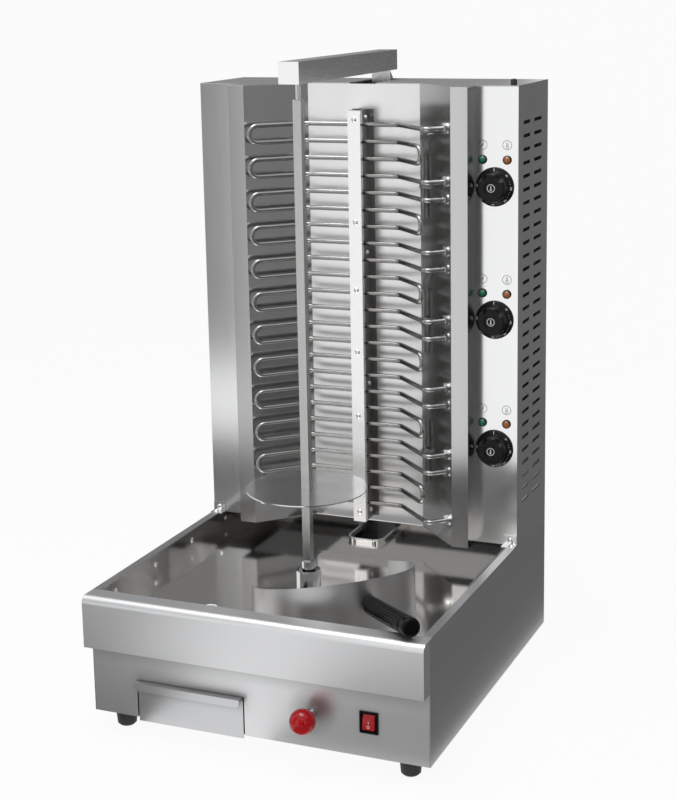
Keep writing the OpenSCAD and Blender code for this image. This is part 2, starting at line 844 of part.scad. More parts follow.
// Rocker switch
switch_side_in = 85;
switch_rise = 49;
switch_x = side_x - switch_side_in;
switch_z = box_z + switch_rise;
switch_lip = 2;
switch_proud = 2;
switch_deep = 24;
switch_wall = 1.5;
rocker_w = 17;
rocker_half_h = 10.5;
rocker_gap = 1;
rocker_front = 6.5;
rocker_ridge = 6.8;
rocker_ridge_z = 3;
rocker_top = 5;
rocker_dip = 1.6;
rocker_back = 5;
rocker_pin_d = 3;
rocker_tilt = -8;
rocker_y = 4;
module switch_housing() {
    window_w = rocker_w + 2 * seat_gap;
    window_h = 2 * (rocker_half_h + rocker_gap);
    color("#161617")
        difference() {
            union() {
                span([switch_x - switch_w / 2, -switch_proud, switch_z - switch_h / 2],
                    [switch_x + switch_w / 2, 0, switch_z + switch_h / 2]);
                span([switch_x - switch_w / 2 + switch_lip + loose_fit, -switch_proud / 2,
                        switch_z - switch_h / 2 + switch_lip + loose_fit],
                    [switch_x + switch_w / 2 - switch_lip - loose_fit, switch_deep,
                        switch_z + switch_h / 2 - switch_lip - loose_fit]);
            }
            span([switch_x - window_w / 2, -switch_proud - over, switch_z - window_h / 2],
                [switch_x + window_w / 2, rocker_y + rocker_back + 4 * seat_gap, switch_z + window_h / 2]);
            bar_x(rocker_y, switch_z, switch_x - window_w / 2 - switch_wall, switch_x + window_w / 2 + switch_wall,
                rocker_pin_d + 2 * run_fit);
        }
}
module rocker() {
    color("#b5130f")
        translate([switch_x, rocker_y, switch_z])
            rotate([rocker_tilt, 0, 0]) {
                across(-rocker_w / 2, rocker_w / 2)
                    polygon([[-rocker_top, rocker_half_h], [-rocker_ridge, rocker_ridge_z],
                        [-rocker_front, -rocker_half_h], [rocker_back - 2 * rocker_dip, -rocker_half_h + rocker_dip],
                        [rocker_back, -rocker_half_h / 2], [rocker_back, rocker_half_h / 2],
                        [rocker_back - 2 * rocker_dip, rocker_half_h - rocker_dip]]);
                bar_x(0, 0, -rocker_w / 2 - switch_wall, rocker_w / 2 + switch_wall, rocker_pin_d);
            }
}

// Wiring inside the base, and the gland at the back
gland_side_in = 70;
gland_rise = 60;
gland_x = side_x - gland_side_in;
gland_z = box_z + gland_rise;
gland_d = 22;
gland_hole_d = 16.4;
gland_out = 12;
gland_nut_t = 5;
module cable_gland() {
    color("#222325")
        difference() {
            union() {
                bar_y(gland_x, gland_z, base_d, base_d + gland_out / 2, gland_d);
                bar_y(gland_x, gland_z, base_d - sheet_t - gland_nut_t, base_d + gland_out, gland_hole_d - 2 * loose_fit);
                translate([gland_x, base_d - sheet_t - gland_nut_t, gland_z])
                    rotate([-90, 0, 0])
                        cylinder(h = gland_nut_t, d = gland_d, $fn = 6);
            }
            bar_y(gland_x, gland_z, base_d - gland_out - gland_d, base_d + gland_out + over, gland_hole_d / 2);
        }
}
block_n = 5;
block_cell = 11;
block_deep = 22;
block_high = 20;
module terminal_block() {
    color("#e4dfd2")
        translate([gland_x - block_n * block_cell / 2, base_d - 5 * block_deep, box_z + sheet_t])
            difference() {
                cube([block_n * block_cell, block_deep, block_high]);
                for (i = [1:block_n - 1])
                    translate([i * block_cell - sheet_t / 2, -over, block_high / 2])
                        cube([sheet_t, block_deep + 2 * over, block_high]);
                for (i = [0:block_n - 1])
                    translate([(i + 1 / 2) * block_cell, block_deep / 2, block_high / 2])
                        cylinder(h = block_high, d = block_cell / 2);
            }
}

// Columns
vent_n = 30;
vent_h = 5;
vent_pitch = 19.3;
vent_top_drop = 53.5;
vent_front_in = 25;
vent_front_w = 33;
vent_back_in = 79;
vent_back_w = 38;
module vent_cuts() {
    for (i = [0:vent_n - 1], v = [[vent_front_in, vent_front_w], [vent_back_in, vent_back_w]])
        translate([side_x - 2 * sheet_t, column_y + v[0], tower_top_z - vent_top_drop - i * vent_pitch - vent_h / 2])
            cube([4 * sheet_t, v[1], vent_h]);
}
module column() {
    difference() {
        span([column_x, column_y, rim_z], [side_x, base_d, panel_top_z]);
        span([column_x + sheet_t, column_y + sheet_t, rim_z + sheet_t],
            [side_x - sheet_t, base_d - sheet_t, tower_top_z + over]);
        vent_cuts();
        translate([side_x - bracket_w / 2, column_y, rim_z + bracket_h / 2])
            rotate([90, 0, 0])
                cylinder(h = 4 * sheet_t, d = screw_d + 2 * loose_fit, center = true);
    }
}
module left_column() {
    color("#b9bbbd")
        mirror([1, 0, 0])
            column();
}
module right_column() {
    color("#c3c5c7")
        difference() {
            column();
            for (i = [0:2]) {
                bar_y(dial_x, dial_z(i), column_y - over, column_y + sheet_t + over, spindle_d + 4 * loose_fit);
                for (s = [-1, 1])
                    bar_y(dial_x + s * lamp_side, dial_z(i) + lamp_rise, column_y - over,
                        column_y + sheet_t + over, lamp_neck_d + 2 * loose_fit);
            }
        }
}
module rear_panel() {
    color("#aeb0b2")
        span([-column_x, base_d - sheet_t, rim_z], [column_x, base_d, panel_top_z]);
}

cover_slot_gap = 6;
cover_slot_w = arm_w + 2 * cover_slot_gap;
module top_cover() {
    right = concat(wing_path, [[side_x, column_y], [side_x, base_d]]);
    left = [for (i = [len(right) - 1:-1:0]) [-right[i][0], right[i][1]]];
    color("#c9cbcd")
        difference() {
            plate(panel_top_z, tower_top_z)
                polygon(concat(right, left));
            span([-cover_slot_w / 2, column_y, panel_top_z - over],
                [cover_slot_w / 2, post_back_y + slot_end_gap, tower_top_z + over]);
        }
}

// Reflector
reflector_low_z = rim_z;
module wing() {
    plate(reflector_low_z, panel_top_z)
        folded_outline(wing_path, mirror_t);
}
module reflector_right() {
    color("#d8dadc")
        difference() {
            wing();
            terminal_places()
                cylinder(h = 6 * mirror_t, d = tube_d + 2 * loose_fit, center = true);
        }
}
module reflector_left() {
    color("#d0d2d4")
        mirror([1, 0, 0])
            wing();
}
module reflector_middle() {
    color("#dcdee0")
        span([-middle_x, middle_y, reflector_low_z], [middle_x, middle_y + mirror_t, panel_top_z]);
}

// Heating elements, each one tube bent into four runs
run_in = 16;
run_y = column_y + run_in;
run_left_in = 5;
run_right_in = 25;
run_left_x = run_left_in - middle_x;
run_right_x = middle_x - run_right_in;
left_arm = 89.5;
right_arm = 74;
terminal_arm = 90;
bend_r = 14;
terminal_r = 9;
terminal_tail = 14;
tube_sides = 8;
diagonal = sqrt(1 / 2);
run_top_z = tower_top_z - top_run_drop;
left_end = [run_left_x - left_arm * diagonal, run_y - left_arm * diagonal];
right_end = [run_right_x + right_arm * diagonal, run_y - right_arm * diagonal];
terminal_bend = [run_right_x + terminal_arm * diagonal, run_y - terminal_arm * diagonal];
// Distance from the terminal's bend to the wing, square to it
wing_gap = (terminal_bend - [strip_x, strip_y]) * wing_normal;
terminal_seat = terminal_bend - wing_gap * wing_normal;
terminal_end = terminal_seat - terminal_tail * wing_normal;
function at_height(p, z) = [p[0], p[1], z];
function run_z(k, i) = run_top_z - (4 * k + i) * run_pitch;
module element(k) {
    left_bend = [run_left_x, run_y];
    right_bend = [run_right_x, run_y];
    path = concat(
        [at_height(terminal_end, run_z(k, 0)), at_height(terminal_bend, run_z(k, 0)),
            at_height(right_bend, run_z(k, 0)), at_height(left_bend, run_z(k, 0)), at_height(left_end, run_z(k, 0))],
        [at_height(left_end, run_z(k, 1)), at_height(left_bend, run_z(k, 1)),
            at_height(right_bend, run_z(k, 1)), at_height(right_end, run_z(k, 1))],
        [at_height(right_end, run_z(k, 2)), at_height(right_bend, run_z(k, 2)),
            at_height(left_bend, run_z(k, 2)), at_height(left_end, run_z(k, 2))],
        [at_height(left_end, run_z(k, 3)), at_height(left_bend, run_z(k, 3)),
            at_height(right_bend, run_z(k, 3)), at_height(terminal_bend, run_z(k, 3)),
            at_height(terminal_end, run_z(k, 3))]);
    u = run_pitch / 2;
    radii = [0, terminal_r, bend_r, bend_r, u, u, bend_r, bend_r, u, u, bend_r, bend_r, u, u,
        bend_r, bend_r, terminal_r, 0];
    bent_rod(path, radii, tube_d, tube_sides, [0, 0, 1]);
}
element_share = element_n / 3;
module element_group(g) {
    color("#8d8781")
        for (k = [g * element_share:(g + 1) * element_share - 1])
            element(k);
}
module elements_top() { element_group(0); }
module elements_middle() { element_group(1); }
module elements_bottom() { element_group(2); }

// Terminal nuts on both faces of the right wing
nut_w = 13;
nut_t = 5;
washer_d = 16;
washer_t = 1.2;
module terminal_places() {
    for (k = [0:element_n - 1], i = [0, 3])
        aimed(at_height(terminal_seat, run_z(k, i)), at_height(wing_normal, 0))
            children();
}
module terminal_nuts() {
    color("#c7c9cb")
        terminal_places()
            difference() {
                union() {
                    cylinder(h = washer_t, d = washer_d);
                    translate([0, 0, washer_t])
                        cylinder(h = nut_t, d = nut_w / cos(30), $fn = 6);
                    translate([0, 0, -mirror_t - nut_t])
                        cylinder(h = nut_t, d = nut_w / cos(30), $fn = 6);
                }
                cylinder(h = 8 * nut_t, d = tube_d + 2 * loose_fit, center = true);
            }
}

// Upright bracket with a slot for every run, and the clamp strip in front of it
clamp_below = 27;
clamp_above = 21;
clamp_low_z = run_z(element_n - 1, 3) - clamp_below;
clamp_high_z = run_top_z + clamp_above;
clamp_t = 1.2;
clamp_side = 8;
bracket_flange = 8;
tube_slot = tube_d + 2 * loose_fit;
module element_bracket() {
    inner_x = clamp_w / 2 - clamp_t;
    front_y = column_y + clamp_t + seat_gap;
    color("#6f7173")
        difference() {
            both_sides() {
                span([inner_x - clamp_t, front_y, clamp_low_z], [inner_x, middle_y, clamp_high_z]);
                span([inner_x - clamp_t, middle_y - clamp_t, clamp_low_z],
                    [inner_x + bracket_flange, middle_y, clamp_high_z]);
            }
            for (k = [0:element_n - 1], i = [0:3]) {
                bar_x(run_y, run_z(k, i), -clamp_w, clamp_w, tube_slot);
                span([-clamp_w, column_y - over, run_z(k, i) - tube_slot / 2],
                    [clamp_w, run_y, run_z(k, i) + tube_slot / 2]);
            }
            bolt_places()
                rotate([0, 90, 0])
                    cylinder(h = 2 * clamp_w, d = bolt_d + 2 * loose_fit, center = true);
        }
}
module element_clamp() {
    color("#cfd1d3")
        difference() {
            union() {
                span([-clamp_w / 2, column_y, clamp_low_z], [clamp_w / 2, column_y + clamp_t, clamp_high_z]);
                both_sides()
                    span([clamp_w / 2 - clamp_t, column_y, clamp_low_z],
                        [clamp_w / 2, column_y + clamp_side, clamp_high_z]);
            }
            clamp_screw_places()
                cylinder(h = 6 * clamp_t, d = screw_d + 2 * loose_fit, center = true);
        }
}
screw_d = 4;
screw_head_d = 8;
screw_head_h = 2.6;
screw_len = 6;
screw_cross = 1.2;
// Heights of the clamp's screws as shares of its length
clamp_screw_shares = [0.024, 0.266, 0.424, 0.575, 0.738, 0.979];
module clamp_screw_places() {
    for (s = clamp_screw_shares)
        translate([0, column_y, clamp_low_z + s * (clamp_high_z - clamp_low_z)])
            rotate([90, 0, 0])
                children();
}
module clamp_screws() {
    color("#9fa1a3")
        clamp_screw_places() {
            headed_pin(screw_head_d, screw_head_h, screw_d, screw_len, screw_cross);
            translate([0, 0, -clamp_t - screw_len / 2])
                cylinder(h = screw_len / 2, d = 1.7 * screw_d, $fn = 6);
        }
}
bolt_d = 4;
bolt_n = 4;
bolt_behind = 8;
bolt_y = run_y + bolt_behind;
bolt_low = 13;
bolt_step = 201;
module bolt_places() {
    for (i = [0:bolt_n - 1])
        translate([0, bolt_y, clamp_low_z + bolt_low + i * bolt_step])
            children();
}
module bracket_bolts() {
    side = clamp_w / 2 - clamp_t;
    color("#85878a")
        bolt_places() {
            rotate([0, 90, 0])
                cylinder(h = 2 * side, d = bolt_d, center = true);
            both_sides()
                translate([side, 0, 0])
                    rotate([0, 90, 0])
                        headed_pin(1.8 * bolt_d, 0.8 * bolt_d, bolt_d, bolt_d);
        }
}

// Brackets that fix the tower to the rim
bracket_w = 20;
bracket_h = 15;
bracket_t = 1.5;
bracket_foot = 14;
module foot_screw_place() {
    translate([side_x - rim_w / 2, column_y - bracket_foot / 2, rim_z + bracket_t])
        children();
}
module corner_brackets() {
    color("#b2b4b6")
        both_sides()
            difference() {
                union() {
                    span([side_x - bracket_w, column_y - bracket_t, rim_z], [side_x, column_y, rim_z + bracket_h]);
                    span([side_x - bracket_w, column_y - bracket_foot, rim_z],
                        [side_x, column_y, rim_z + bracket_t]);
                }
                foot_screw_place()
                    cylinder(h = 6 * bracket_t, d = screw_d + 2 * loose_fit, center = true);
                translate([side_x - bracket_w / 2, column_y, rim_z + bracket_h / 2])
                    rotate([90, 0, 0])
                        cylinder(h = 4 * bracket_t, d = screw_d + 2 * loose_fit, center = true);
            }
}
module panel_screws() {
    color("#8f9193")
        both_sides() {
            translate([side_x - bracket_w / 2, column_y - bracket_t, rim_z + bracket_h / 2])
                rotate([90, 0, 0])
                    headed_pin(screw_head_d, screw_head_h, screw_d, screw_len, screw_cross);
            foot_screw_place()
                headed_pin(screw_head_d, screw_head_h, screw_d, screw_len, screw_cross);
            for (z = [rim_z + 4 * bracket_h, (rim_z + panel_top_z) / 2, panel_top_z - 4 * bracket_h])
                translate([column_x - bracket_w / 2, base_d, z])
                    rotate([-90, 0, 0])
                        headed_pin(screw_head_d, screw_head_h, 0, 0, screw_cross);
        }
}

// Dials, lamps and thermostats
dial_side_in = 34.5;
dial_x = side_x - dial_side_in;
dial_top_drop = 143;
function dial_z(i) = tower_top_z - dial_top_drop - i * dial_pitch;
spindle_d = 6;
spindle_show = 12;
dial_gap = 1;
dial_skirt_h = 4.5;
dial_slope = 3;
dial_grip_d = 43;
dial_grip_top_d = 38;
dial_grip_h = 15;
dial_boss_d = 18;
dial_boss_deep = 1.5;
dial_bore_deep = 14;
dent_r = 9;
module knob(i) {
    top = dial_skirt_h + dial_grip_h;
    color("#141415")
        translate([dial_x, column_y - dial_gap, dial_z(i)])
            rotate([90, 0, 0])
                difference() {
                    rotate_extrude($fn = 96)
                        polygon([[0, 0], [dial_d / 2, 0], [dial_d / 2, dial_skirt_h / 3],
                            [dial_d / 2 - dial_slope, dial_skirt_h / 2],
                            [dial_grip_d / 2 + dial_slope / 2, dial_skirt_h],
                            [dial_grip_d / 2, dial_skirt_h], [dial_grip_d / 2 - dial_slope / 2, top - dial_slope],
                            [dial_grip_top_d / 2 - dial_slope / 2, top],
                            [dial_boss_d / 2 + dial_boss_deep, top],
                            [dial_boss_d / 2, top - dial_boss_deep], [0, top - dial_boss_deep]]);
                    translate([0, 0, -over])
                        cylinder(h = dial_bore_deep + over, d = spindle_d + 2 * run_fit);
                    for (turn = [52, 128])
                        rotate([0, 0, turn])
                            translate([dial_grip_d / 2 + dent_r / 4, 0, top + dent_r / 8])
                                sphere(r = dent_r);
                }
}
module knob_1() { knob(0); }
module knob_2() { knob(1); }
module knob_3() { knob(2); }

thermostat_w = 34;
thermostat_deep = 30;
thermostat_step = 8;
module thermostats() {
    color("#b89f6a")
        for (i = [0:2])
            translate([dial_x, column_y + sheet_t, dial_z(i)]) {
                span([-thermostat_w / 2, 0, -thermostat_w / 2], [thermostat_w / 2, thermostat_step, thermostat_w / 2]);
                span([-thermostat_w / 3, 0, -thermostat_w / 2], [thermostat_w / 3, thermostat_deep, thermostat_w / 2]);
                bar_y(0, 0, -sheet_t - spindle_show, thermostat_step, spindle_d);
            }
}

lamp_side = 18.2;
lamp_rise = 38.5;
lamp_neck_d = 10;
lamp_neck_len = 22;
lamp_rim_h = 2;
lamp_dome_h = 3.5;
module lamps(side) {
    for (i = [0:2])
        translate([dial_x + side * lamp_side, column_y, dial_z(i) + lamp_rise])
            rotate([90, 0, 0]) {
                cylinder(h = lamp_rim_h, d = lamp_d);
                translate([0, 0, lamp_rim_h])
                    headed_pin(lamp_d - lamp_rim_h, lamp_dome_h, lamp_neck_d / 2, lamp_rim_h / 2);
                translate([0, 0, -lamp_neck_len])
                    cylinder(h = lamp_neck_len, d = lamp_neck_d);
            }
}
module green_lamps() {
    color("#0f5a34")
        lamps(-1);
}
module amber_lamps() {
    color("#a04d22")
        lamps(1);
}

// Sensor bulbs of the thermostats, clipped to the right wing
bulb_d = 6;
bulb_len = 95;
bulb_off = 5;
bulb_along = 21;
bulb_top_drop = 99;
bulb_pitch = 202;
capillary_d = 2;
capillary_rise = 14;
capillary_r = 6;
capillary_reach = 16;
capillary_sides = 6;
wing_dir = unit([strip_x - middle_x, strip_y - middle_y]);
bulb_seat = [middle_x, middle_y] + bulb_along * wing_dir;
bulb_axis = bulb_seat + bulb_off * wing_normal;
function bulb_z(i) = tower_top_z - bulb_top_drop - i * bulb_pitch;
module sensor_bulbs() {
    color("#b87b4d")
        for (i = [0:2]) {
            translate(at_height(bulb_axis, bulb_z(i) - bulb_len))
                cylinder(h = bulb_len, d = bulb_d);
            bent_rod([at_height(bulb_axis, bulb_z(i) - bulb_off),
                    at_height(bulb_axis, bulb_z(i) + capillary_rise),
                    at_height(bulb_axis + capillary_reach * wing_dir, bulb_z(i) + 2 * capillary_rise),
                    at_height(bulb_seat + capillary_reach * wing_dir, bulb_z(i) + 2 * capillary_rise)],
                [0, capillary_r, capillary_r / 2, 0], capillary_d, capillary_sides, at_height(wing_normal, 0));
        }
}
clip_w = 12;
clip_h = 10;
clip_t = 1.2;
module sensor_clips() {
    color("#cfd1d3")
        for (i = [0:2])
            translate(at_height(bulb_seat, bulb_z(i) - bulb_len / 2 - clip_h / 2))
                rotate([0, 0, atan2(wing_dir[1], wing_dir[0])])
                    mirror([0, 1, 0])
                        difference() {
                            span([-bulb_d / 2 - clip_t, 0, 0], [clip_w, bulb_off + bulb_d / 2 + clip_t, clip_h]);
                            span([bulb_d / 2 + clip_t, clip_t, -over],
                                [clip_w + over, 2 * bulb_off + bulb_d, clip_h + over]);
                            span([-bulb_d / 2 - loose_fit, -over, -over],
                                [bulb_d / 2 + loose_fit, bulb_off + bulb_d / 2 + loose_fit, clip_h + over]);
                        }
}

plug_d = 9;
plug_h = 9;
plug_in = 10;
module corner_plug() {
    color("#101011")
        translate([side_x - plug_in, column_y + plug_in, tower_top_z])
            rotate_extrude()
                polygon([[0, 0], [plug_d / 2, 0], [plug_d / 2, plug_h - plug_d / 6],
                    [plug_d / 2 - plug_d / 6, plug_h], [0, plug_h]]);
}

// Meat scoop, laid on the tray in front of the socket
scoop_x = 52;
scoop_y = 152;
scoop_turn = -42;
scoop_mouth = 40;
scoop_t = 1.2;
grip_d = 20;
grip_end_d = 25;
grip_rise = 35;
grip_tilt = 5;
grip_round = 6;
grip_neck = 6;
ferrule_d = 16;
// The front edge of the scoop's floor is cut back in an arc, so that the drive can come forward
bite_back = 35;
bite_gap = 3;
function turned(v, a) = [v[0] * cos(a) - v[1] * sin(a), v[0] * sin(a) + v[1] * cos(a)];
shaft_far = turned([-scoop_x, spit_y - carriage_travel - scoop_y], -scoop_turn);
bite_r = norm(shaft_far + [scoop_mouth + bite_back, 0]) + shaft_d / 2 + bite_gap;
// The wall's top is one slanting plane: its height falls evenly from the handle to the ends
wall_slope = (scoop_h - scoop_end_h) / (scoop_r + scoop_mouth);
wall_tilt = atan(wall_slope);
module scoop_blade() {
    color("#cccecf")
        translate([scoop_x, scoop_y, tray_z])
            rotate([0, 0, scoop_turn])
                difference() {
                    cylinder(h = scoop_h + 2 * over, r = scoop_r, $fn = 128);
                    translate([0, 0, scoop_t])
                        cylinder(h = scoop_h + 3 * over, r = scoop_r - scoop_t, $fn = 128);
                    span([-2 * scoop_r, -2 * scoop_r, -over], [-scoop_mouth, 2 * scoop_r, 2 * scoop_h]);
                    translate([scoop_r, 0, scoop_h])
                        rotate([0, -wall_tilt, 0])
                            span([-3 * scoop_r, -2 * scoop_r, 0], [scoop_r, 2 * scoop_r, 2 * scoop_h]);
                    translate([-scoop_mouth - bite_back, 0, -over])
                        cylinder(h = scoop_t + 2 * over, r = bite_r, $fn = 128);
                    translate([scoop_r - 2 * scoop_t, 0, grip_rise])
                        rotate([0, 90, 0])
                            cylinder(h = 4 * scoop_t, d = rivet_d + 4 * loose_fit);
                }
}
module scoop_handle() {
    color("#121213")
        translate([scoop_x, scoop_y, tray_z + grip_rise])
            rotate([0, 0, scoop_turn])
                translate([scoop_r, 0, 0])
                    rotate([0, 90 - grip_tilt, 0])
                        rotate_extrude()
                            polygon([[0, -2 * scoop_t], [rivet_d / 2, -2 * scoop_t], [rivet_d / 2, scoop_t],
                                [ferrule_d / 2, scoop_t], [ferrule_d / 2, grip_neck],
                                [grip_d / 2 - grip_round / 3, grip_neck],
                                [grip_d / 2, grip_neck + grip_round], [grip_end_d / 2, grip_len - grip_round],
                                [grip_end_d / 2 - grip_round / 3, grip_len - grip_round / 3],
                                [grip_end_d / 2 - grip_round, grip_len], [0, grip_len]]);
}

// The whole grill stands with the middle of its outline over the origin
front_y = ball_y - ball_d / 2;
back_y = base_d + gland_out;
module placed() {
    translate([0, -(front_y + back_y) / 2, 0])
        children();
}

placed() base_shell();
placed() base_front();
placed() apron();
placed() base_floor();
placed() tray_pan();
placed() drain_ring();
placed() tray_rivets();
placed() rubber_feet();
placed() drawer_runners();
placed() guide_rods();
placed() rod_blocks();
placed() rod_bush();
placed() switch_housing();
placed() terminal_block();
placed() cable_gland();
placed() left_column();
placed() right_column();
placed() rear_panel();
placed() top_cover();
placed() reflector_middle();
placed() reflector_left();
placed() reflector_right();
placed() elements_top();
placed() elements_middle();
placed() elements_bottom();
placed() terminal_nuts();
placed() element_bracket();
placed() element_clamp();
placed() clamp_screws();
placed() bracket_bolts();
placed() corner_brackets();
placed() panel_screws();
placed() green_lamps();
placed() amber_lamps();
placed() thermostats();
placed() sensor_bulbs();
placed() sensor_clips();
placed() corner_plug();
placed() carriage_plate();
placed() carriage_bushes();
placed() gearbox();
placed() motor();
placed() rear_post();
placed() top_arm();
placed() arm_end_cap();
placed() top_pin();
placed() pull_rod();
placed() ball_knob();
placed() drive_shaft();
placed() drive_socket();
placed() skewer();
placed() meat_disc();
placed() knob_1();
placed() knob_2();
placed() knob_3();
placed() rocker();
placed() drawer_tray();
placed() drawer_front();
placed() scoop_blade();
placed() scoop_handle();
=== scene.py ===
# %% [markdown]
# # A vertical kebab grill in stainless steel
#
# The grill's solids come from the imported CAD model, which stays where it is. This lesson gives
# them their finishes and makes the pieces that the eye reads first: the bent heater tubes, the
# dials, the lamps, the switch, the ball and the handle of the scoop. Lengths are in metres, short
# ones are written as a number of millimetres times MM, and the grill's front faces -Y.

# %% Load the frame
import math

import bmesh
import bpy
from mathutils import Matrix, Vector


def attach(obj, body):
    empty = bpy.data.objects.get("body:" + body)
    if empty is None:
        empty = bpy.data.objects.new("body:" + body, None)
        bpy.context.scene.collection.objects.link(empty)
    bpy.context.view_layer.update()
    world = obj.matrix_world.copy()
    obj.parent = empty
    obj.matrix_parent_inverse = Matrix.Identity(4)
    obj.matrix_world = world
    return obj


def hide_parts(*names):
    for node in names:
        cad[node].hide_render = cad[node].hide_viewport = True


MM = 0.001
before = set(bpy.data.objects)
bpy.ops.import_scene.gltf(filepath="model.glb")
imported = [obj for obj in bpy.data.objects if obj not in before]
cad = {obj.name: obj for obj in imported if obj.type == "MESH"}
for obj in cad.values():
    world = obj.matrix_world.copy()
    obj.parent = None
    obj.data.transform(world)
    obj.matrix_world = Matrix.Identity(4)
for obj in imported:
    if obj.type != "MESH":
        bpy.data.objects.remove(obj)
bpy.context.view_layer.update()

# %% [markdown]
# ## The camera
#
# The photograph was taken from the front right, a little above the grill, with a long lens, so
# that upright edges stay nearly parallel. A camera is set by where it stands and by the two
# directions that it turns by. Here it also leans by one degree, as the photograph does, and the
# frame is shifted down instead of tilting the camera further, which keeps the uprights as they
# are. Angles are in radians.

# %% Place the camera
CAMERA_AT = Vector((0.9244, -2.1096, 1.025))
CAMERA_TURN = 0.4026
CAMERA_RISE = 0.2027
CAMERA_LEAN = -0.018
CAMERA_LENS = 74.44
CAMERA_SHIFT = -0.10
CAMERA_REACH = 40


def camera_frame(turn, rise, lean):
    """The camera's own right, up and back directions."""
    flat = math.cos(rise)
    back = Vector((math.sin(turn) * flat, -math.cos(turn) * flat, math.sin(rise)))
    right = (-back).cross(Vector((0, 0, 1))).normalized()
    up = right.cross(-back)
    leaning_right = math.cos(lean) * right + math.sin(lean) * up
    leaning_up = -math.sin(lean) * right + math.cos(lean) * up
    return leaning_right, leaning_up, back


scene = bpy.context.scene
camera = bpy.data.objects.new("camera", bpy.data.cameras.new("camera"))
scene.collection.objects.link(camera)
scene.camera = camera
axes = Matrix(camera_frame(CAMERA_TURN, CAMERA_RISE, CAMERA_LEAN)).transposed()
camera.matrix_world = Matrix.Translation(CAMERA_AT) @ axes.to_4x4()
camera.data.lens = CAMERA_LENS
camera.data.shift_y = CAMERA_SHIFT
camera.data.clip_end = CAMERA_REACH
scene.view_settings.view_transform = "Standard"
print("camera stands", round(CAMERA_AT.length, 2), "m from the grill's foot")

# %% [markdown]
# ## Nodes by name
#
# A material is a small network of nodes. The first helper adds a node with its settings and wires
# it to what feeds it, and the others add the few that every finish needs, so that each finish
# below reads as a short list.


# %% Helpers for materials
def add_node(tree, kind, inputs=None, **settings):
    """Adds a node. An input is a plain value, or another node's output that is wired to it."""
    node = tree.nodes.new(kind)
    for key, value in settings.items():
        setattr(node, key, value)
    for key, value in (inputs or {}).items():
        if isinstance(value, bpy.types.NodeSocket):
            tree.links.new(value, node.inputs[key])
        else:
            node.inputs[key].default_value = value
    return node


def new_finish(name, colour, metallic, roughness, **sockets):
    """A Principled material, its tree and its shader. Plain values sit on the shader's sockets."""
    material = bpy.data.materials.new(name)
    material.use_nodes = True
    tree = material.node_tree
    shader = tree.nodes["Principled BSDF"]
    shader.inputs["Base Color"].default_value = (*colour, 1)
    shader.inputs["Metallic"].default_value = metallic
    shader.inputs["Roughness"].default_value = roughness
    for key, value in sockets.items():
        shader.inputs[key.replace("_", " ")].default_value = value
    return material, tree, shader


def noise(tree, scale, detail, stretch=(1, 1, 1)):
    """Noise in the object's own place. A small factor in stretch draws it out along that axis."""
    place = add_node(tree, "ShaderNodeTexCoord").outputs["Object"]
    mapped = add_node(tree, "ShaderNodeMapping", {"Vector": place, "Scale": stretch}).outputs[0]
    inputs = {"Vector": mapped, "Scale": scale, "Detail": detail}
    return add_node(tree, "ShaderNodeTexNoise", inputs).outputs[0]


def spread(tree, value, low, high):
    """Carries a value from 0 to 1 over to a range from low to high."""
    inputs = {"Value": value, "To Min": low, "To Max": high}
    return add_node(tree, "ShaderNodeMapRange", inputs).outputs[0]


def two_colours(tree, share, colour, other):
    """Goes from one colour to the other as share goes from 0 to 1."""
    inputs = {"Factor": share, "A": (*colour, 1), "B": (*other, 1)}
    return add_node(tree, "ShaderNodeMix", inputs, data_type="RGBA").outputs["Result"]


def add_bump(tree, shader, height, distance, strength):
    """Lifts the surface by a height from 0 to 1, times a distance."""
    inputs = {"Height": height, "Distance": distance, "Strength": strength}
    bump = add_node(tree, "ShaderNodeBump", inputs)
    tree.links.new(bump.outputs[0], shader.inputs["Normal"])


# %% [markdown]
# ## Brushed stainless sheet
#
# The cabinet is sheet that a belt has brushed in one direction. The grain is a noise that is
# squeezed across the grain and stretched far along it. It moves the roughness and the colour a
# little and lifts the surface by a hair, and that is what breaks a reflection up into soft
# streaks. On some panels shade is painted into the colour: it darkens near corners and under
# overhangs, such as the apron's lower edge, where shade falls.

# %% Steel finishes
GRAIN_FINE, GRAIN_BROAD = 900, 14
GRAIN_STRETCH = 0.012
GRAIN_DARK = 0.86
SHEET_WAVE, WIPE_MARKS = 7, 45
CRISP, SOFT = 0.5, 0.4


def brushed(
    name, colour, roughness, grain, metallic=0.9, streak=0.12, lift=0.02 * MM, shade_reach=0.0
):
    """Steel with a grain along one axis. The last argument is how far painted shade, a darkening
    of the colour, reaches out of a corner.
    """
    material, tree, shader = new_finish(name, colour, metallic, roughness)
    stretch = tuple(GRAIN_STRETCH if axis == grain else 1.0 for axis in "xyz")
    fine = noise(tree, GRAIN_FINE, 3, stretch)
    broad = noise(tree, GRAIN_BROAD, 2, stretch)
    gloss = spread(tree, fine, roughness - streak / 2, roughness + streak / 2)
    tree.links.new(gloss, shader.inputs["Roughness"])
    steel_tone = two_colours(tree, broad, tuple(GRAIN_DARK * c for c in colour), colour)
    # Painted shade: an occlusion node darkens the colour near corners and under overhangs.
    if shade_reach:
        inputs = {"Color": steel_tone, "Distance": shade_reach}
        corner = add_node(tree, "ShaderNodeAmbientOcclusion", inputs, samples=8)
        steel_tone = corner.outputs["Color"]
    tree.links.new(steel_tone, shader.inputs["Base Color"])
    add_bump(tree, shader, fine, lift, CRISP)
    return material


def polished(name, colour, roughness, waves=0.6 * MM, cloud=0.05):
    """Polished steel: long low waves in the sheet, and a faint haze of wiping marks."""
    material, tree, shader = new_finish(name, colour, 1.0, roughness)
    gloss = spread(tree, noise(tree, WIPE_MARKS, 4), roughness, roughness + cloud)
    tree.links.new(gloss, shader.inputs["Roughness"])
    add_bump(tree, shader, noise(tree, SHEET_WAVE, 1), waves, SOFT)
    return material


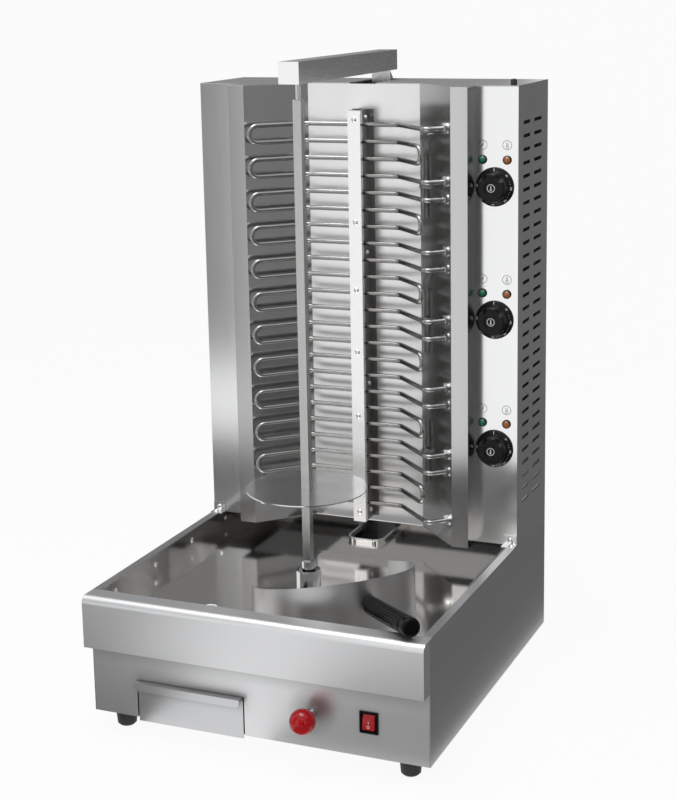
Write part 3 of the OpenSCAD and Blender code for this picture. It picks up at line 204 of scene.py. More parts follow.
FINE_BRUSH = {"metallic": 1.0, "streak": 0.05, "lift": 0.006 * MM}
STIFF = 0.2 * MM
case_steel = brushed("case_steel", (0.80, 0.805, 0.815), 0.37, "x")
# Painted shade: on the front and the drawer the colour darkens within 30 and 20 mm of a corner or
# an overhang, such as under the apron.
front_steel_shaded = brushed("front_steel_shaded", (0.80, 0.805, 0.815), 0.37, "x", shade_reach=30 * MM)
drawer_steel_shaded = brushed("drawer_steel_shaded", (0.66, 0.665, 0.675), 0.33, "x", shade_reach=20 * MM)
side_steel = brushed("side_steel", (0.64, 0.645, 0.655), 0.32, "y")
column_steel = brushed("column_steel", (0.96, 0.965, 0.97), 0.17, "z", **FINE_BRUSH)
arm_steel = brushed("arm_steel", (0.78, 0.785, 0.79), 0.28, "y", streak=0.06, lift=0.01 * MM)
wing_steel = brushed("wing_steel", (0.60, 0.60, 0.60), 0.20, "z", **FINE_BRUSH)
mirror_steel = brushed("mirror_steel", (0.98, 0.98, 0.98), 0.30, "z", **FINE_BRUSH)
tray_steel = polished("tray_steel", (0.90, 0.88, 0.86), 0.09)
scoop_steel = polished("scoop_steel", (0.52, 0.52, 0.525), 0.32, STIFF)
turned_steel = polished("turned_steel", (0.80, 0.805, 0.81), 0.12, STIFF)
plain_steel = brushed("plain_steel", (0.42, 0.43, 0.44), 0.45, "y")
skewer_steel = brushed("skewer_steel", (0.52, 0.515, 0.51), 0.26, "z", metallic=1.0)

# %% [markdown]
# ## Plastic, rubber, bronze and lenses
#
# The other finishes are plain, but none is one flat colour. Moulded plastic has a fine grain and a
# slight change of gloss, the ball is dyed phenolic that is polished almost free of grain, metal
# that gets hot changes colour in patches, and the lamps have dyed lenses with a clear coat.

# %% Other finishes
PLASTIC_PATCH = 30
RUBBED, DULLED = 0.06, 0.08
SMOOTH = 0.005 * MM


def moulded(name, colour, roughness, grain=600, lift=0.03 * MM, patchy=0.055, **sockets):
    """Plastic or rubber with a fine moulded grain, whose gloss changes a little in patches."""
    material, tree, shader = new_finish(name, colour, 0.0, roughness, **sockets)
    patches = noise(tree, PLASTIC_PATCH, 3)
    gloss = spread(tree, patches, roughness - patchy, roughness + patchy)
    tree.links.new(gloss, shader.inputs["Roughness"])
    add_bump(tree, shader, noise(tree, grain, 3), lift, SOFT)
    return material


def mottled(name, colour, other, roughness, scale):
    """Metal whose colour changes in soft patches, as heat or age does it."""
    material, tree, shader = new_finish(name, colour, 1.0, roughness)
    patches = noise(tree, scale, 4)
    tree.links.new(two_colours(tree, patches, colour, other), shader.inputs["Base Color"])
    gloss = spread(tree, patches, roughness - RUBBED, roughness + DULLED)
    tree.links.new(gloss, shader.inputs["Roughness"])
    return material


heater_steel = mottled("heater_steel", (0.44, 0.435, 0.43), (0.30, 0.295, 0.29), 0.18, 22)
clamp_steel = polished("clamp_steel", (0.92, 0.92, 0.92), 0.20, STIFF)
dark_bracket = mottled("dark_bracket", (0.34, 0.33, 0.32), (0.25, 0.24, 0.23), 0.32, 40)
bush_bronze = mottled("bush_bronze", (0.62, 0.44, 0.20), (0.50, 0.34, 0.15), 0.32, 60)
dial_black = moulded("dial_black", (0.007, 0.007, 0.008), 0.28, Specular_IOR_Level=0.18)
gloss_black = moulded(
    "gloss_black", (0.004, 0.004, 0.005), 0.16, lift=0.004 * MM, Specular_IOR_Level=0.13
)
rubber_black = moulded("rubber_black", (0.02, 0.02, 0.02), 0.62)
ball_red = moulded(
    "ball_red", (0.38, 0.004, 0.008), 0.09,
    lift=0.0005 * MM, patchy=0.01, Specular_IOR_Level=0.35,
)
key_red = moulded("key_red", (0.40, 0.008, 0.012), 0.24, lift=SMOOTH, Specular_IOR_Level=0.35)
lens_green = moulded("lens_green", (0.005, 0.13, 0.06), 0.10, lift=SMOOTH, Coat_Weight=1.0)
lens_amber = moulded("lens_amber", (0.34, 0.11, 0.028), 0.10, lift=SMOOTH, Coat_Weight=1.0)
print_white = moulded("print_white", (0.80, 0.80, 0.80), 0.5)
print_grey = moulded("print_grey", (0.035, 0.035, 0.037), 0.5)
cast_grey = moulded("cast_grey", (0.30, 0.305, 0.31), 0.5, grain=250, lift=0.1 * MM)
motor_grey = moulded("motor_grey", (0.05, 0.052, 0.055), 0.45)
pale_plastic = moulded("pale_plastic", (0.74, 0.71, 0.64), 0.45)

# %% [markdown]
# ## Finishes on the CAD pieces
#
# A CAD piece with the right shape only needs its finish. The grain runs along the front panels
# from side to side, along the side sheets from front to back, and up the columns and reflectors.
# A node that a new piece replaces further on has a finish too, though it won't show.

# %% Give each CAD piece its finish
FINISH_OF = {
    case_steel: "apron rear_panel",
    front_steel_shaded: "base_front",
    drawer_steel_shaded: "drawer_front",
    side_steel: "base_shell top_cover",
    column_steel: "left_column right_column corner_brackets",
    arm_steel: "top_arm rear_post",
    wing_steel: "reflector_left reflector_right",
    mirror_steel: "reflector_middle",
    tray_steel: "tray_pan drain_ring tray_rivets",
    scoop_steel: "scoop_blade",
    turned_steel: "drive_shaft drive_socket meat_disc top_pin pull_rod rod_bush guide_rods "
    "terminal_nuts sensor_clips clamp_screws panel_screws bracket_bolts",
    skewer_steel: "skewer",
    clamp_steel: "element_clamp arm_end_cap",
    plain_steel: "base_floor drawer_runners rod_blocks carriage_plate drawer_tray",
    heater_steel: "elements_top elements_middle elements_bottom",
    bush_bronze: "carriage_bushes thermostats",
    dark_bracket: "element_bracket sensor_bulbs",
    cast_grey: "gearbox",
    motor_grey: "motor",
    rubber_black: "rubber_feet cable_gland corner_plug",
    dial_black: "knob_1 knob_2 knob_3 scoop_handle",
    gloss_black: "switch_housing",
    ball_red: "ball_knob",
    key_red: "rocker",
    lens_green: "green_lamps",
    lens_amber: "amber_lamps",
    pale_plastic: "terminal_block",
}


def wear(piece, finish):
    """Puts one finish on a whole piece."""
    piece.data.materials.clear()
    piece.data.materials.append(finish)


for finish, names in FINISH_OF.items():
    for name in names.split():
        wear(cad[name], finish)
bare = sorted(set(cad) - {n for names in FINISH_OF.values() for n in names.split()})
print("CAD pieces without a finish:", bare or "none")

# %% [markdown]
# ## From a bmesh to a piece
#
# Every new piece ends in the same way: its mesh is merged, its faces are turned outwards, its
# round parts are shaded smooth and its edges kept sharp, and it is tied to the CAD body that it
# moves with. What is round is spun from half of its section, as on a lathe.


# %% Helpers for pieces
def make_piece(name, bm, finish, body, replaces=(), sharp=35):
    """Turns a bmesh into a piece that rides on a CAD body."""
    bmesh.ops.remove_doubles(bm, verts=bm.verts, dist=1e-6)
    bmesh.ops.recalc_face_normals(bm, faces=bm.faces)
    mesh = bpy.data.meshes.new(name)
    bm.to_mesh(mesh)
    bm.free()
    mesh.shade_smooth()
    mesh.set_sharp_from_angle(angle=math.radians(sharp))
    piece = bpy.data.objects.new(name, mesh)
    scene.collection.objects.link(piece)
    mesh.materials.append(finish)
    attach(piece, body)
    if replaces:
        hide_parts(*replaces)
    return piece


def turned(bm, profile, steps):
    """Spins a profile of radius and height round the Z axis and merges its seam and its poles."""
    spine = [bm.verts.new((r, 0, h)) for r, h in profile]
    edges = [bm.edges.new(pair) for pair in zip(spine, spine[1:])]
    bmesh.ops.spin(
        bm, geom=spine + edges, cent=(0, 0, 0), axis=(0, 0, 1), angle=math.tau, steps=steps,
        use_merge=True,
    )
    bmesh.ops.remove_doubles(bm, verts=bm.verts, dist=1e-6)


def verts_of(made):
    """The vertices among what an operator made."""
    return [g for g in made if isinstance(g, bmesh.types.BMVert)]


def edges_of(made):
    """The edges among what an operator made."""
    return [g for g in made if isinstance(g, bmesh.types.BMEdge)]


def add_mesh(bm, mesh, matrix):
    """Adds a mesh to a bmesh at a place, and throws the mesh away."""
    mesh.transform(matrix)
    bm.from_mesh(mesh)
    bpy.data.meshes.remove(mesh)


def add_part(bm, part, matrix):
    """Adds one bmesh to another at a place, and frees it."""
    mesh = bpy.data.meshes.new("part")
    part.to_mesh(mesh)
    part.free()
    add_mesh(bm, mesh, matrix)


# %% [markdown]
# ## The heater tubes
#
# Each heater is one steel tube, filled with a coil and powder, that is bent cold into four runs.
# Its middle lies in the slots of the upright bracket, its ends swing forward beside the meat and
# turn back in narrow loops, and its two terminals go through the right wing. A curve with a round
# section would do, but its handles would have to be worked out at each bend. So the tube is made
# as a bender makes it: a ring is pushed straight ahead, then swung round the centre of each bend.


# %% Bend a tube
def bent_tube(bm, points, radii, width, sides=16, step=12):
    """Pushes a ring along straight runs and swings it round each corner, by steps in degrees."""
    points = [Vector(p) for p in points]
    ahead = (points[1] - points[0]).normalized()
    place = Matrix.Translation(points[0]) @ ahead.to_track_quat("Z", "Y").to_matrix().to_4x4()
    ring = bmesh.ops.create_circle(
        bm, cap_ends=False, segments=sides, radius=width / 2, matrix=place
    )["verts"]
    edges = list({e for v in ring for e in v.link_edges})
    at = points[0]
    last = len(points) - 1
    for i in range(1, len(points)):
        ahead = (points[i] - points[i - 1]).normalized()
        reach = 0.0
        if i < last:
            after = (points[i + 1] - points[i]).normalized()
            bend = ahead.angle(after)
            reach = radii[i] * math.tan(bend / 2)
        stop = points[i] - ahead * reach
        if (stop - at).length > 1e-6:
            made = bmesh.ops.extrude_edge_only(bm, edges=edges)["geom"]
            fresh = verts_of(made)
            bmesh.ops.translate(bm, verts=fresh, vec=stop - at)
            edges = [e for e in edges_of(made) if all(v in fresh for v in e.verts)]
        if i < last:
            inward = (after - ahead * ahead.dot(after)).normalized()
            made = bmesh.ops.spin(
                bm,
                geom=edges,
                cent=stop + inward * radii[i],
                axis=ahead.cross(after).normalized(),
                angle=bend,
                steps=max(2, round(math.degrees(bend) / step)),
            )["geom_last"]
            edges = edges_of(made)
            at = points[i] + after * reach
    bmesh.ops.holes_fill(bm, edges=[e for e in bm.edges if e.is_boundary], sides=sides)


# %% Heater tubes
TUBE = 7 * MM
RUN_PITCH = 0.0252
RUN_TOP = 0.817
RUN_Y = 0.1488
ELBOW_R, TERMINAL_R, LOOP_R = 14 * MM, 9 * MM, RUN_PITCH / 2
RUN_LEFT = Vector((-0.084, RUN_Y))
RUN_RIGHT = Vector((0.064, RUN_Y))
DIAGONAL = math.sqrt(0.5)
OUT_LEFT, OUT_RIGHT = Vector((-DIAGONAL, -DIAGONAL)), Vector((DIAGONAL, -DIAGONAL))
REACH_LEFT, REACH_RIGHT, REACH_TERMINAL = 0.0895, 0.074, 0.090
LOOP_LEFT = RUN_LEFT + OUT_LEFT * REACH_LEFT
LOOP_RIGHT = RUN_RIGHT + OUT_RIGHT * REACH_RIGHT
TERMINAL_BEND = RUN_RIGHT + OUT_RIGHT * REACH_TERMINAL
WING_FOOT = Vector((0.089, 0.1708))
WING_TOE = Vector((0.161, 0.0978))
WING_ALONG = (WING_TOE - WING_FOOT).normalized()
WING_OUT = Vector((WING_ALONG.y, -WING_ALONG.x))
TERMINAL_SEAT = TERMINAL_BEND - WING_OUT * (TERMINAL_BEND - WING_TOE).dot(WING_OUT)
TERMINAL_DEEP = 14 * MM
TERMINAL_END = TERMINAL_SEAT - WING_OUT * TERMINAL_DEEP
RUNS_PER_HEATER, HEATERS_PER_NODE = 4, 2


def heater_path(top):
    """Corners and bend radii of one heater, whose highest run is at a height."""
    start = [(TERMINAL_END, 0), (TERMINAL_BEND, TERMINAL_R)]
    to_left = [(RUN_RIGHT, ELBOW_R), (RUN_LEFT, ELBOW_R)]
    to_right = to_left[::-1]
    left, right = (LOOP_LEFT, LOOP_R), (LOOP_RIGHT, LOOP_R)
    runs = [
        [*start, *to_left, left],
        [left, *to_right, right],
        [right, *to_left, left],
        [left, *to_right, *start[::-1]],
    ]
    corners = [(*p, top - i * RUN_PITCH) for i, run in enumerate(runs) for p, _ in run]
    return corners, [r for run in runs for _, r in run]


for group, level in enumerate(("top", "middle", "bottom")):
    bm = bmesh.new()
    for k in range(HEATERS_PER_NODE):
        heater = bmesh.new()
        number = HEATERS_PER_NODE * group + k
        top = RUN_TOP - RUNS_PER_HEATER * number * RUN_PITCH
        bent_tube(heater, *heater_path(top), TUBE)
        add_part(bm, heater, Matrix.Identity(4))
    tubes = make_piece(
        f"heater_{level}", bm, heater_steel, "stand", [f"elements_{level}"], 60
    )
    print(tubes.name, len(tubes.data.polygons), "faces")

# %% [markdown]
# ## The rolled lip of the post's slot
#
# The slot in the tray, through which the post slides, has a short collar, and the collar's top
# edge is rolled into a bead, which catches the light. The bead is one more bent tube.

# %% Roll the lip
LIP_X, LIP_FRONT, LIP_BACK, LIP_Z = 0.02875, 0.146, 0.225, 0.177
LIP_R = 16.75 * MM
LIP_WIDTH = 3.6 * MM
bm = bmesh.new()
lip_corners = [
    (-LIP_X, LIP_BACK, LIP_Z),
    (-LIP_X, LIP_FRONT, LIP_Z),
    (LIP_X, LIP_FRONT, LIP_Z),
    (LIP_X, LIP_BACK, LIP_Z),
]
bent_tube(bm, lip_corners, [0, LIP_R, LIP_R, 0], LIP_WIDTH, sides=12)
make_piece("slot_lip", bm, turned_steel, "stand", (), 60)

# %% [markdown]
# ## The ball on the pull rod
#
# The ball is turned from dyed phenolic resin and polished. A ready-made sphere has no flat where
# the rod enters. So half a circle is spun about the rod, and stops at that small flat.

# %% Turn the ball
FRONT = Matrix.Rotation(math.radians(90), 4, "X")
BALL_AT = Vector((0.083, -0.2772, 0.0745))
BALL_R = 17.6 * MM
BALL_FLAT = 1.2 * MM
BALL_STEPS = 40


def place_at(at, turn):
    """A place: what is made at the middle of the world is turned and then moved to a point."""
    return Matrix.Translation(at) @ turn


flat_angle = math.acos((BALL_R - BALL_FLAT) / BALL_R)
arc = [flat_angle + (math.pi - flat_angle) * i / BALL_STEPS for i in range(BALL_STEPS + 1)]
ball_profile = [(0, BALL_FLAT - BALL_R)]
ball_profile += [(BALL_R * math.sin(a), -BALL_R * math.cos(a)) for a in arc]
bm = bmesh.new()
turned(bm, ball_profile, steps=72)
bm.transform(place_at(BALL_AT, FRONT))
make_piece("pull_ball", bm, ball_red, "carriage", ["ball_knob"])
print("the ball is", round(2 * BALL_R / MM, 1), "mm across")

# %% [markdown]
# ## The thermostat dials
#
# A dial is one black moulding: a skirt with the scale printed on its slope, and a raised grip with
# a sunk middle. Two thumb dents leave a ridge at the top of the grip. The body is spun from its
# profile. The dents could be cut with a boolean, which leaves ragged faces, so each is pressed in
# instead: every vertex inside a ball moves out to the ball's surface.

# %% Mould the dials
DIAL_X = 0.2155
DIAL_Y = 0.1318
DIAL_Z = (0.733, 0.540, 0.347)
SKIRT_R, SKIRT_EDGE, SKIRT_TOP = 28 * MM, 1.6 * MM, 4.6 * MM
GRIP_R, GRIP_TOP_R, GRIP_TOP = 22 * MM, 20 * MM, 19.5 * MM
RECESS_R, RECESS = 9.5 * MM, 1.6 * MM
RECESS_FLOOR = GRIP_TOP - RECESS
DENTS = (50, 130)
DENT_R, DENT_OUT, DENT_UP = 9.5 * MM, 3.4 * MM, 1.6 * MM


def line_of(a, b, n):
    """Points from a to b, without b."""
    return [(a[0] + (b[0] - a[0]) * i / n, a[1] + (b[1] - a[1]) * i / n) for i in range(n)]


dial_profile = (
    [(0, 0), (SKIRT_R - 0.4 * MM, 0), (SKIRT_R, 0.4 * MM), (SKIRT_R, SKIRT_EDGE - 0.3 * MM)]
    + line_of((SKIRT_R - 0.3 * MM, SKIRT_EDGE), (GRIP_R + 0.5 * MM, SKIRT_TOP), 6)
    + [(GRIP_R + 0.3 * MM, SKIRT_TOP), (GRIP_R, SKIRT_TOP + 0.5 * MM)]
    + line_of((GRIP_R, SKIRT_TOP + 1.2 * MM), (GRIP_TOP_R + 0.3 * MM, GRIP_TOP - 2 * MM), 16)
    + [(GRIP_TOP_R, GRIP_TOP - 1.1 * MM), (GRIP_TOP_R - 0.8 * MM, GRIP_TOP - 0.3 * MM)]
    + line_of((GRIP_TOP_R - 2 * MM, GRIP_TOP), (RECESS_R + 0.6 * MM, GRIP_TOP), 14)
    + [(RECESS_R + 0.5 * MM, GRIP_TOP), (RECESS_R + 0.1 * MM, GRIP_TOP - 0.3 * MM)]
    + [(RECESS_R - 0.2 * MM, RECESS_FLOOR), (RECESS_R - 1.5 * MM, RECESS_FLOOR)]
    + [(0, RECESS_FLOOR)]
)


def press_dent(bm, centre, radius):
    """Presses a ball-shaped dent into a mesh."""
    for v in bm.verts:
        away = v.co - centre
        if 0 < away.length < radius:
            v.co = centre + away.normalized() * radius


for i, z in enumerate(DIAL_Z, 1):
    bm = bmesh.new()
    turned(bm, dial_profile, steps=144)
    for angle in DENTS:
        a = math.radians(angle)
        reach = GRIP_TOP_R + DENT_OUT
        thumb = Vector((reach * math.cos(a), reach * math.sin(a), GRIP_TOP + DENT_UP))
        press_dent(bm, thumb, DENT_R)
    bm.transform(place_at((DIAL_X, DIAL_Y, z), FRONT))
    dial = make_piece(
        f"dial_{i}", bm, dial_black, f"dial_{i}", [f"knob_{i}"], 50
    )
print("a dial has", len(dial.data.polygons), "faces")

# %% [markdown]
# ## Printed numbers and marks
#
# The scale runs round the skirt, the switch carries the two marks that every rocker has, and a
# small round sign stands above each lamp. Text starts as a curve, and it becomes a thin mesh
# before it is put in its place, so that it can lie on a slope.

# %% Helpers for print
INK, LETTER_INK = 0.08 * MM, 0.04 * MM


def add_text(bm, text, size, matrix):
    """Adds a word as a thin mesh, centred on its place and read along its X axis."""
    curve = bpy.data.curves.new("word", "FONT")
    curve.body, curve.size, curve.extrude = text, size, LETTER_INK
    curve.align_x, curve.align_y = "CENTER", "CENTER"
    word = bpy.data.objects.new("word", curve)
    scene.collection.objects.link(word)
    bpy.context.view_layer.update()
    shown = word.evaluated_get(bpy.context.evaluated_depsgraph_get())
    mesh = bpy.data.meshes.new_from_object(shown)
    bpy.data.objects.remove(word)
    bpy.data.curves.remove(curve)
    add_mesh(bm, mesh, matrix)


def add_bar(bm, width, height, matrix):
    """Adds a thin straight bar."""
    scale = Matrix.Diagonal((width, height, INK, 1))
    bmesh.ops.create_cube(bm, size=1.0, matrix=matrix @ scale)


def add_ring(bm, radius, line, matrix):
    """Adds a thin ring that lies flat in its place."""
    inner, outer, h = radius - line / 2, radius + line / 2, INK / 2
    ring = bmesh.new()
    turned(ring, [(inner, -h), (outer, -h), (outer, h), (inner, h), (inner, -h)], steps=40)
    add_part(bm, ring, matrix)


def add_dot(bm, radius, matrix):
    """Adds a thin round dot."""
    bmesh.ops.create_cone(
        bm, cap_ends=True, segments=12, radius1=radius, radius2=radius, depth=INK, matrix=matrix
    )


# %% Print the dials
SCALE = {50: 48, 100: 93, 150: 138, 200: 183, 250: 228, 300: 273}
NUMBER_SIZE = 3.7 * MM
POINTER = (0.9 * MM, 4.4 * MM)
DOT_R, DOT_FROM, DOT_TO, DOT_STEP, DOT_CLEAR = 0.36 * MM, 70, 265, 9, 11
SIGN_R, SIGN_LINE, SIGN_LIFT = 5.4 * MM, 0.8 * MM, 0.03 * MM
SIGN_BAR, SIGN_BAR_UP = (1.3 * MM, 5.0 * MM), 0.6 * MM
SIGN_DOT_R, SIGN_DOT_UP = 1.3 * MM, -2.2 * MM
slope = math.atan2(SKIRT_TOP - SKIRT_EDGE, SKIRT_R - GRIP_R)
mid_r = (SKIRT_R + GRIP_R) / 2 + 0.1 * MM
mid_h = (SKIRT_TOP + SKIRT_EDGE) / 2 + 0.12 * MM
dot_place = (GRIP_R + 2.2 * MM, SKIRT_TOP - 0.8 * MM)


def on_skirt(clock, r=mid_r, h=mid_h):
    """A place on the skirt's slope at an angle clockwise from the top, in degrees."""
    tilt = Matrix.Rotation(-slope, 4, "X")
    return Matrix.Rotation(math.radians(-clock), 4, "Z") @ Matrix.Translation((0, r, h)) @ tilt


for i, z in enumerate(DIAL_Z, 1):
    bm = bmesh.new()
    add_bar(bm, *POINTER, on_skirt(0))
    for number, clock in SCALE.items():
        add_text(bm, str(number), NUMBER_SIZE, on_skirt(clock))
    for clock in range(DOT_FROM, DOT_TO + 1, DOT_STEP):
        if min(abs(clock - c) for c in SCALE.values()) > DOT_CLEAR:
            add_dot(bm, DOT_R, on_skirt(clock, *dot_place))
    middle = Matrix.Translation((0, 0, RECESS_FLOOR + SIGN_LIFT))
    add_ring(bm, SIGN_R, SIGN_LINE, middle)
    add_bar(bm, *SIGN_BAR, middle @ Matrix.Translation((0, SIGN_BAR_UP, 0)))
    add_dot(bm, SIGN_DOT_R, middle @ Matrix.Translation((0, SIGN_DOT_UP, 0)))
    bm.transform(place_at((DIAL_X, DIAL_Y, z), FRONT))
    make_piece(f"dial_print_{i}", bm, print_white, f"dial_{i}")

# %% [markdown]
# ## Lamps and their signs
#
# Each lamp is a black rim with a domed lens of dyed clear plastic, both spun from their profiles.
# The sign over the green lamp is a flash for the mains, and the one over the amber lamp is a
# thermometer for the heat. Both are built from the bars and rings that the dials use.

# %% Make the lamps
LAMP_SIDE, LAMP_RISE = 18.2 * MM, 38.5 * MM
COLUMN_FRONT = 0.1328
LENS_R, LENS_H = 5.4 * MM, 4.2 * MM
LENS_FOOT, LENS_EDGE = 0.6 * MM, 1.6 * MM
DOME_STEPS = 10


def in_mm(points):
    """A profile that is written in millimetres, given back in metres."""
    return [(r * MM, h * MM) for r, h in points]


dome = [math.pi / 2 * i / DOME_STEPS for i in range(1, DOME_STEPS + 1)]
lens_profile = [(0, LENS_FOOT), (LENS_R, LENS_FOOT), (LENS_R, LENS_EDGE)]
lens_profile += [(LENS_R * math.cos(a), LENS_EDGE + LENS_H * math.sin(a)) for a in dome]
rim_profile = [(LENS_R, 0)]
rim_profile += in_mm([(6.3, 0), (6.5, 0.3), (6.5, 1.4), (6.1, 2.1), (5.7, 2.3)])
rim_profile += [(LENS_R, 2.1 * MM), (LENS_R, 0)]
rims = bmesh.new()
for side, finish, colour in ((-1, lens_green, "green"), (1, lens_amber, "amber")):
    lenses = bmesh.new()
    for z in DIAL_Z:
        place = place_at((DIAL_X + side * LAMP_SIDE, COLUMN_FRONT, z + LAMP_RISE), FRONT)
        for group, profile in ((lenses, lens_profile), (rims, rim_profile)):
            part = bmesh.new()
            turned(part, profile, steps=40)
            add_part(group, part, place)
    make_piece(
        f"lamp_lenses_{colour}", lenses, finish, "stand", [f"{colour}_lamps"]
    )
make_piece("lamp_rims", rims, gloss_black, "stand", ())

# %% Print the signs
LAMP_SIGN_RISE = 59.5 * MM
LAMP_SIGN_R, LAMP_SIGN_LINE, LAMP_SIGN_LIFT = 6.6 * MM, 0.65 * MM, 0.05 * MM
FLASH = (((0.9, 2.0), 5.0, -28), ((0, 0), 3.6, 78), ((-0.9, -2.0), 5.0, -28))
FLASH_LINE = 0.8 * MM
STEM_SIDES, STEM_LENGTH, STEM_RISE = (-1.0, 1.0), 6.0 * MM, 1.0 * MM
BULB_R, BULB_UP, BULB_LINE = 1.9 * MM, -2.9 * MM, 0.6 * MM
signs = bmesh.new()
for z in DIAL_Z:
    for side in (-1, 1):
        at = (DIAL_X + side * LAMP_SIDE, COLUMN_FRONT - LAMP_SIGN_LIFT, z + LAMP_SIGN_RISE)
        place = place_at(at, FRONT)
        add_ring(signs, LAMP_SIGN_R, LAMP_SIGN_LINE, place)
        if side < 0:
            for (x, y), length, angle in FLASH:
                lean = Matrix.Rotation(math.radians(angle), 4, "Z")
                spot = Matrix.Translation((x * MM, y * MM, 0)) @ lean
                add_bar(signs, FLASH_LINE, length * MM, place @ spot)
        else:
            for x in STEM_SIDES:
                spot = Matrix.Translation((x * MM, STEM_RISE, 0))
                add_bar(signs, BULB_LINE, STEM_LENGTH, place @ spot)
            add_ring(signs, BULB_R, BULB_LINE, place @ Matrix.Translation((0, BULB_UP, 0)))
make_piece("lamp_signs", signs, print_grey, "stand")

# %% [markdown]
# ## The rocker switch
#
# The black housing snaps into the front panel, and the red key rocks in its window. The key's face
# has a ridge. At rest its upper end is pressed in, so the short upper face looks up and catches
# the light. The housing starts as one flat face: its rim is drawn back to the panel, and its
# middle is inset and pushed in. The key is a side outline that is drawn across. Only edges that
# turn by more than an angle, in radians, are rounded.

# %% Make the housing
SWITCH_X, SWITCH_Z, PANEL_Y = 0.165, 0.074, -0.2472
SWITCH_W, SWITCH_H, SWITCH_PROUD = 26 * MM, 30.5 * MM, 2 * MM
RIM_W, WELL_DEEP, ROUNDING = 4.2 * MM, 9 * MM, 0.5 * MM
SQUARE, BENT = 1.2, 0.3
bm = bmesh.new()
face = place_at((SWITCH_X, PANEL_Y - SWITCH_PROUD, SWITCH_Z), FRONT)
face = face @ Matrix.Diagonal((SWITCH_W, SWITCH_H, 1, 1))
bmesh.ops.create_grid(bm, x_segments=1, y_segments=1, size=0.5, matrix=face)
panel = bm.faces[:]
skirt = bmesh.ops.extrude_edge_only(bm, edges=bm.edges[:])["geom"]
bmesh.ops.translate(bm, verts=verts_of(skirt), vec=(0, SWITCH_PROUD, 0))
bmesh.ops.inset_individual(bm, faces=panel, thickness=RIM_W)
well = bmesh.ops.extrude_discrete_faces(bm, faces=panel)["faces"]
bmesh.ops.translate(bm, verts=list({v for f in well for v in f.verts}), vec=(0, WELL_DEEP, 0))
square_edges = [e for e in bm.edges if len(e.link_faces) == 2 and e.calc_face_angle(0) > SQUARE]
bmesh.ops.bevel(
    bm, geom=square_edges, offset=ROUNDING, segments=2, profile=0.5, affect="EDGES", material=-1
)
make_piece("switch_frame", bm, gloss_black, "stand", ["switch_housing"])

# %% Make the key
KEY_TILT = Matrix.Rotation(math.radians(-8), 4, "X")
KEY_AT = (SWITCH_X, PANEL_Y + 4 * MM, SWITCH_Z)
KEY_W = 17 * MM
KEY_OUTLINE = in_mm(
    [(-5.0, 10.5), (-6.8, 3.0), (-6.5, -10.5), (1.8, -8.9), (5.0, -5.2), (5.0, 5.2), (1.8, 8.9)]
)
bm = bmesh.new()
side = bm.faces.new([bm.verts.new((-KEY_W / 2, y, z)) for y, z in KEY_OUTLINE])
across = bmesh.ops.extrude_face_region(bm, geom=[side])["geom"]
bmesh.ops.translate(bm, verts=verts_of(across), vec=(KEY_W, 0, 0))
bmesh.ops.recalc_face_normals(bm, faces=bm.faces)
bent_edges = [e for e in bm.edges if e.calc_face_angle(0) > BENT]
bmesh.ops.bevel(
    bm, geom=bent_edges, offset=ROUNDING, segments=3, profile=0.5, affect="EDGES", material=-1
)
bm.transform(place_at(KEY_AT, KEY_TILT))
make_piece("switch_key", bm, key_red, "switch_key", ["rocker"], 60)

# %% Print the key
ON_MARK, ON_AT = (0.7 * MM, 3.2 * MM), (0, -6.8 * MM, -0.4 * MM)
OFF_MARK, OFF_AT = (1.7 * MM, 0.6 * MM), (0, -6.68 * MM, -6.2 * MM)
on_key = place_at(KEY_AT, KEY_TILT)
marks = bmesh.new()
add_bar(marks, *ON_MARK, on_key @ place_at(ON_AT, FRONT))
add_ring(marks, *OFF_MARK, on_key @ place_at(OFF_AT, FRONT))
make_piece("switch_marks", marks, print_white, "switch_key")

# %% [markdown]
# ## The scoop's handle
#
# The handle is a moulded grip that widens towards its flat end. Shallow flutes run along it, and a
# narrow groove goes round it near the end. Each flute could be cut on its own, but they all are
# one wave round the axis. So the profile is spun with many steps, and then the vertices of the
# grip move in by that wave, which fades out towards both ends.

# %% Mould the handle
SCOOP_AT = (0.052, -0.0952, 0.206)
SCOOP_TURN = Matrix.Rotation(math.radians(-42), 4, "Z")
HANDLE_FROM = 0.115
HANDLE_TILT = Matrix.Rotation(math.radians(85), 4, "Y")
FLUTES, FLUTE_DEEP = 14, 0.55 * MM
FLUTE_FROM, FLUTE_TO = 12 * MM, 106 * MM
FADE_IN, FADE_OUT = 8 * MM, 5 * MM
neck = [(0, 0.2), (9.6, 0.2), (10.0, 0.8), (10.0, 3), (10.4, 3.6), (11.7, 4.6), (12.5, 6.4)]
groove = [(13.0, 107), (12.6, 107.4), (12.6, 108.4), (13.0, 108.8), (13.1, 112), (13.1, 119)]
end = [(12.8, 121.4), (12.0, 123), (10.6, 123.8), (8.6, 124), (0, 124)]
grip = line_of((12.8 * MM, 11 * MM), (13.0 * MM, 107 * MM), 32)
handle_profile = in_mm([*neck, (12.8, 9)]) + grip + in_mm(groove + end)
bm = bmesh.new()
turned(bm, handle_profile, steps=112)
for v in bm.verts:
    if FLUTE_FROM < v.co.z < FLUTE_TO:
        fade = min(1, (v.co.z - FLUTE_FROM) / FADE_IN, (FLUTE_TO - v.co.z) / FADE_OUT)
        wave = (1 - math.cos(FLUTES * math.atan2(v.co.y, v.co.x))) / 2
        inward = Vector((v.co.x, v.co.y, 0)).normalized()
        v.co -= inward * FLUTE_DEEP * fade * wave**2
socket = Matrix.Translation((HANDLE_FROM, 0, 0))
bm.transform(place_at(SCOOP_AT, SCOOP_TURN) @ socket @ HANDLE_TILT)
make_piece("scoop_grip", bm, gloss_black, "scoop", ["scoop_handle"], 50)

# %% [markdown]
# ## The light
#
# The steel shows what stands round it more than its own colour. The room is white, with two soft
# boxes at the front and one above, and a few cards give the steel its reflections: dark and grey
# ones for its shade, under the tower too, and a white one for the front of the right column. The
# cards are hidden from the camera, so that no view is blocked, and cast no shadow. The floor and
# the backdrop are one swept sheet.

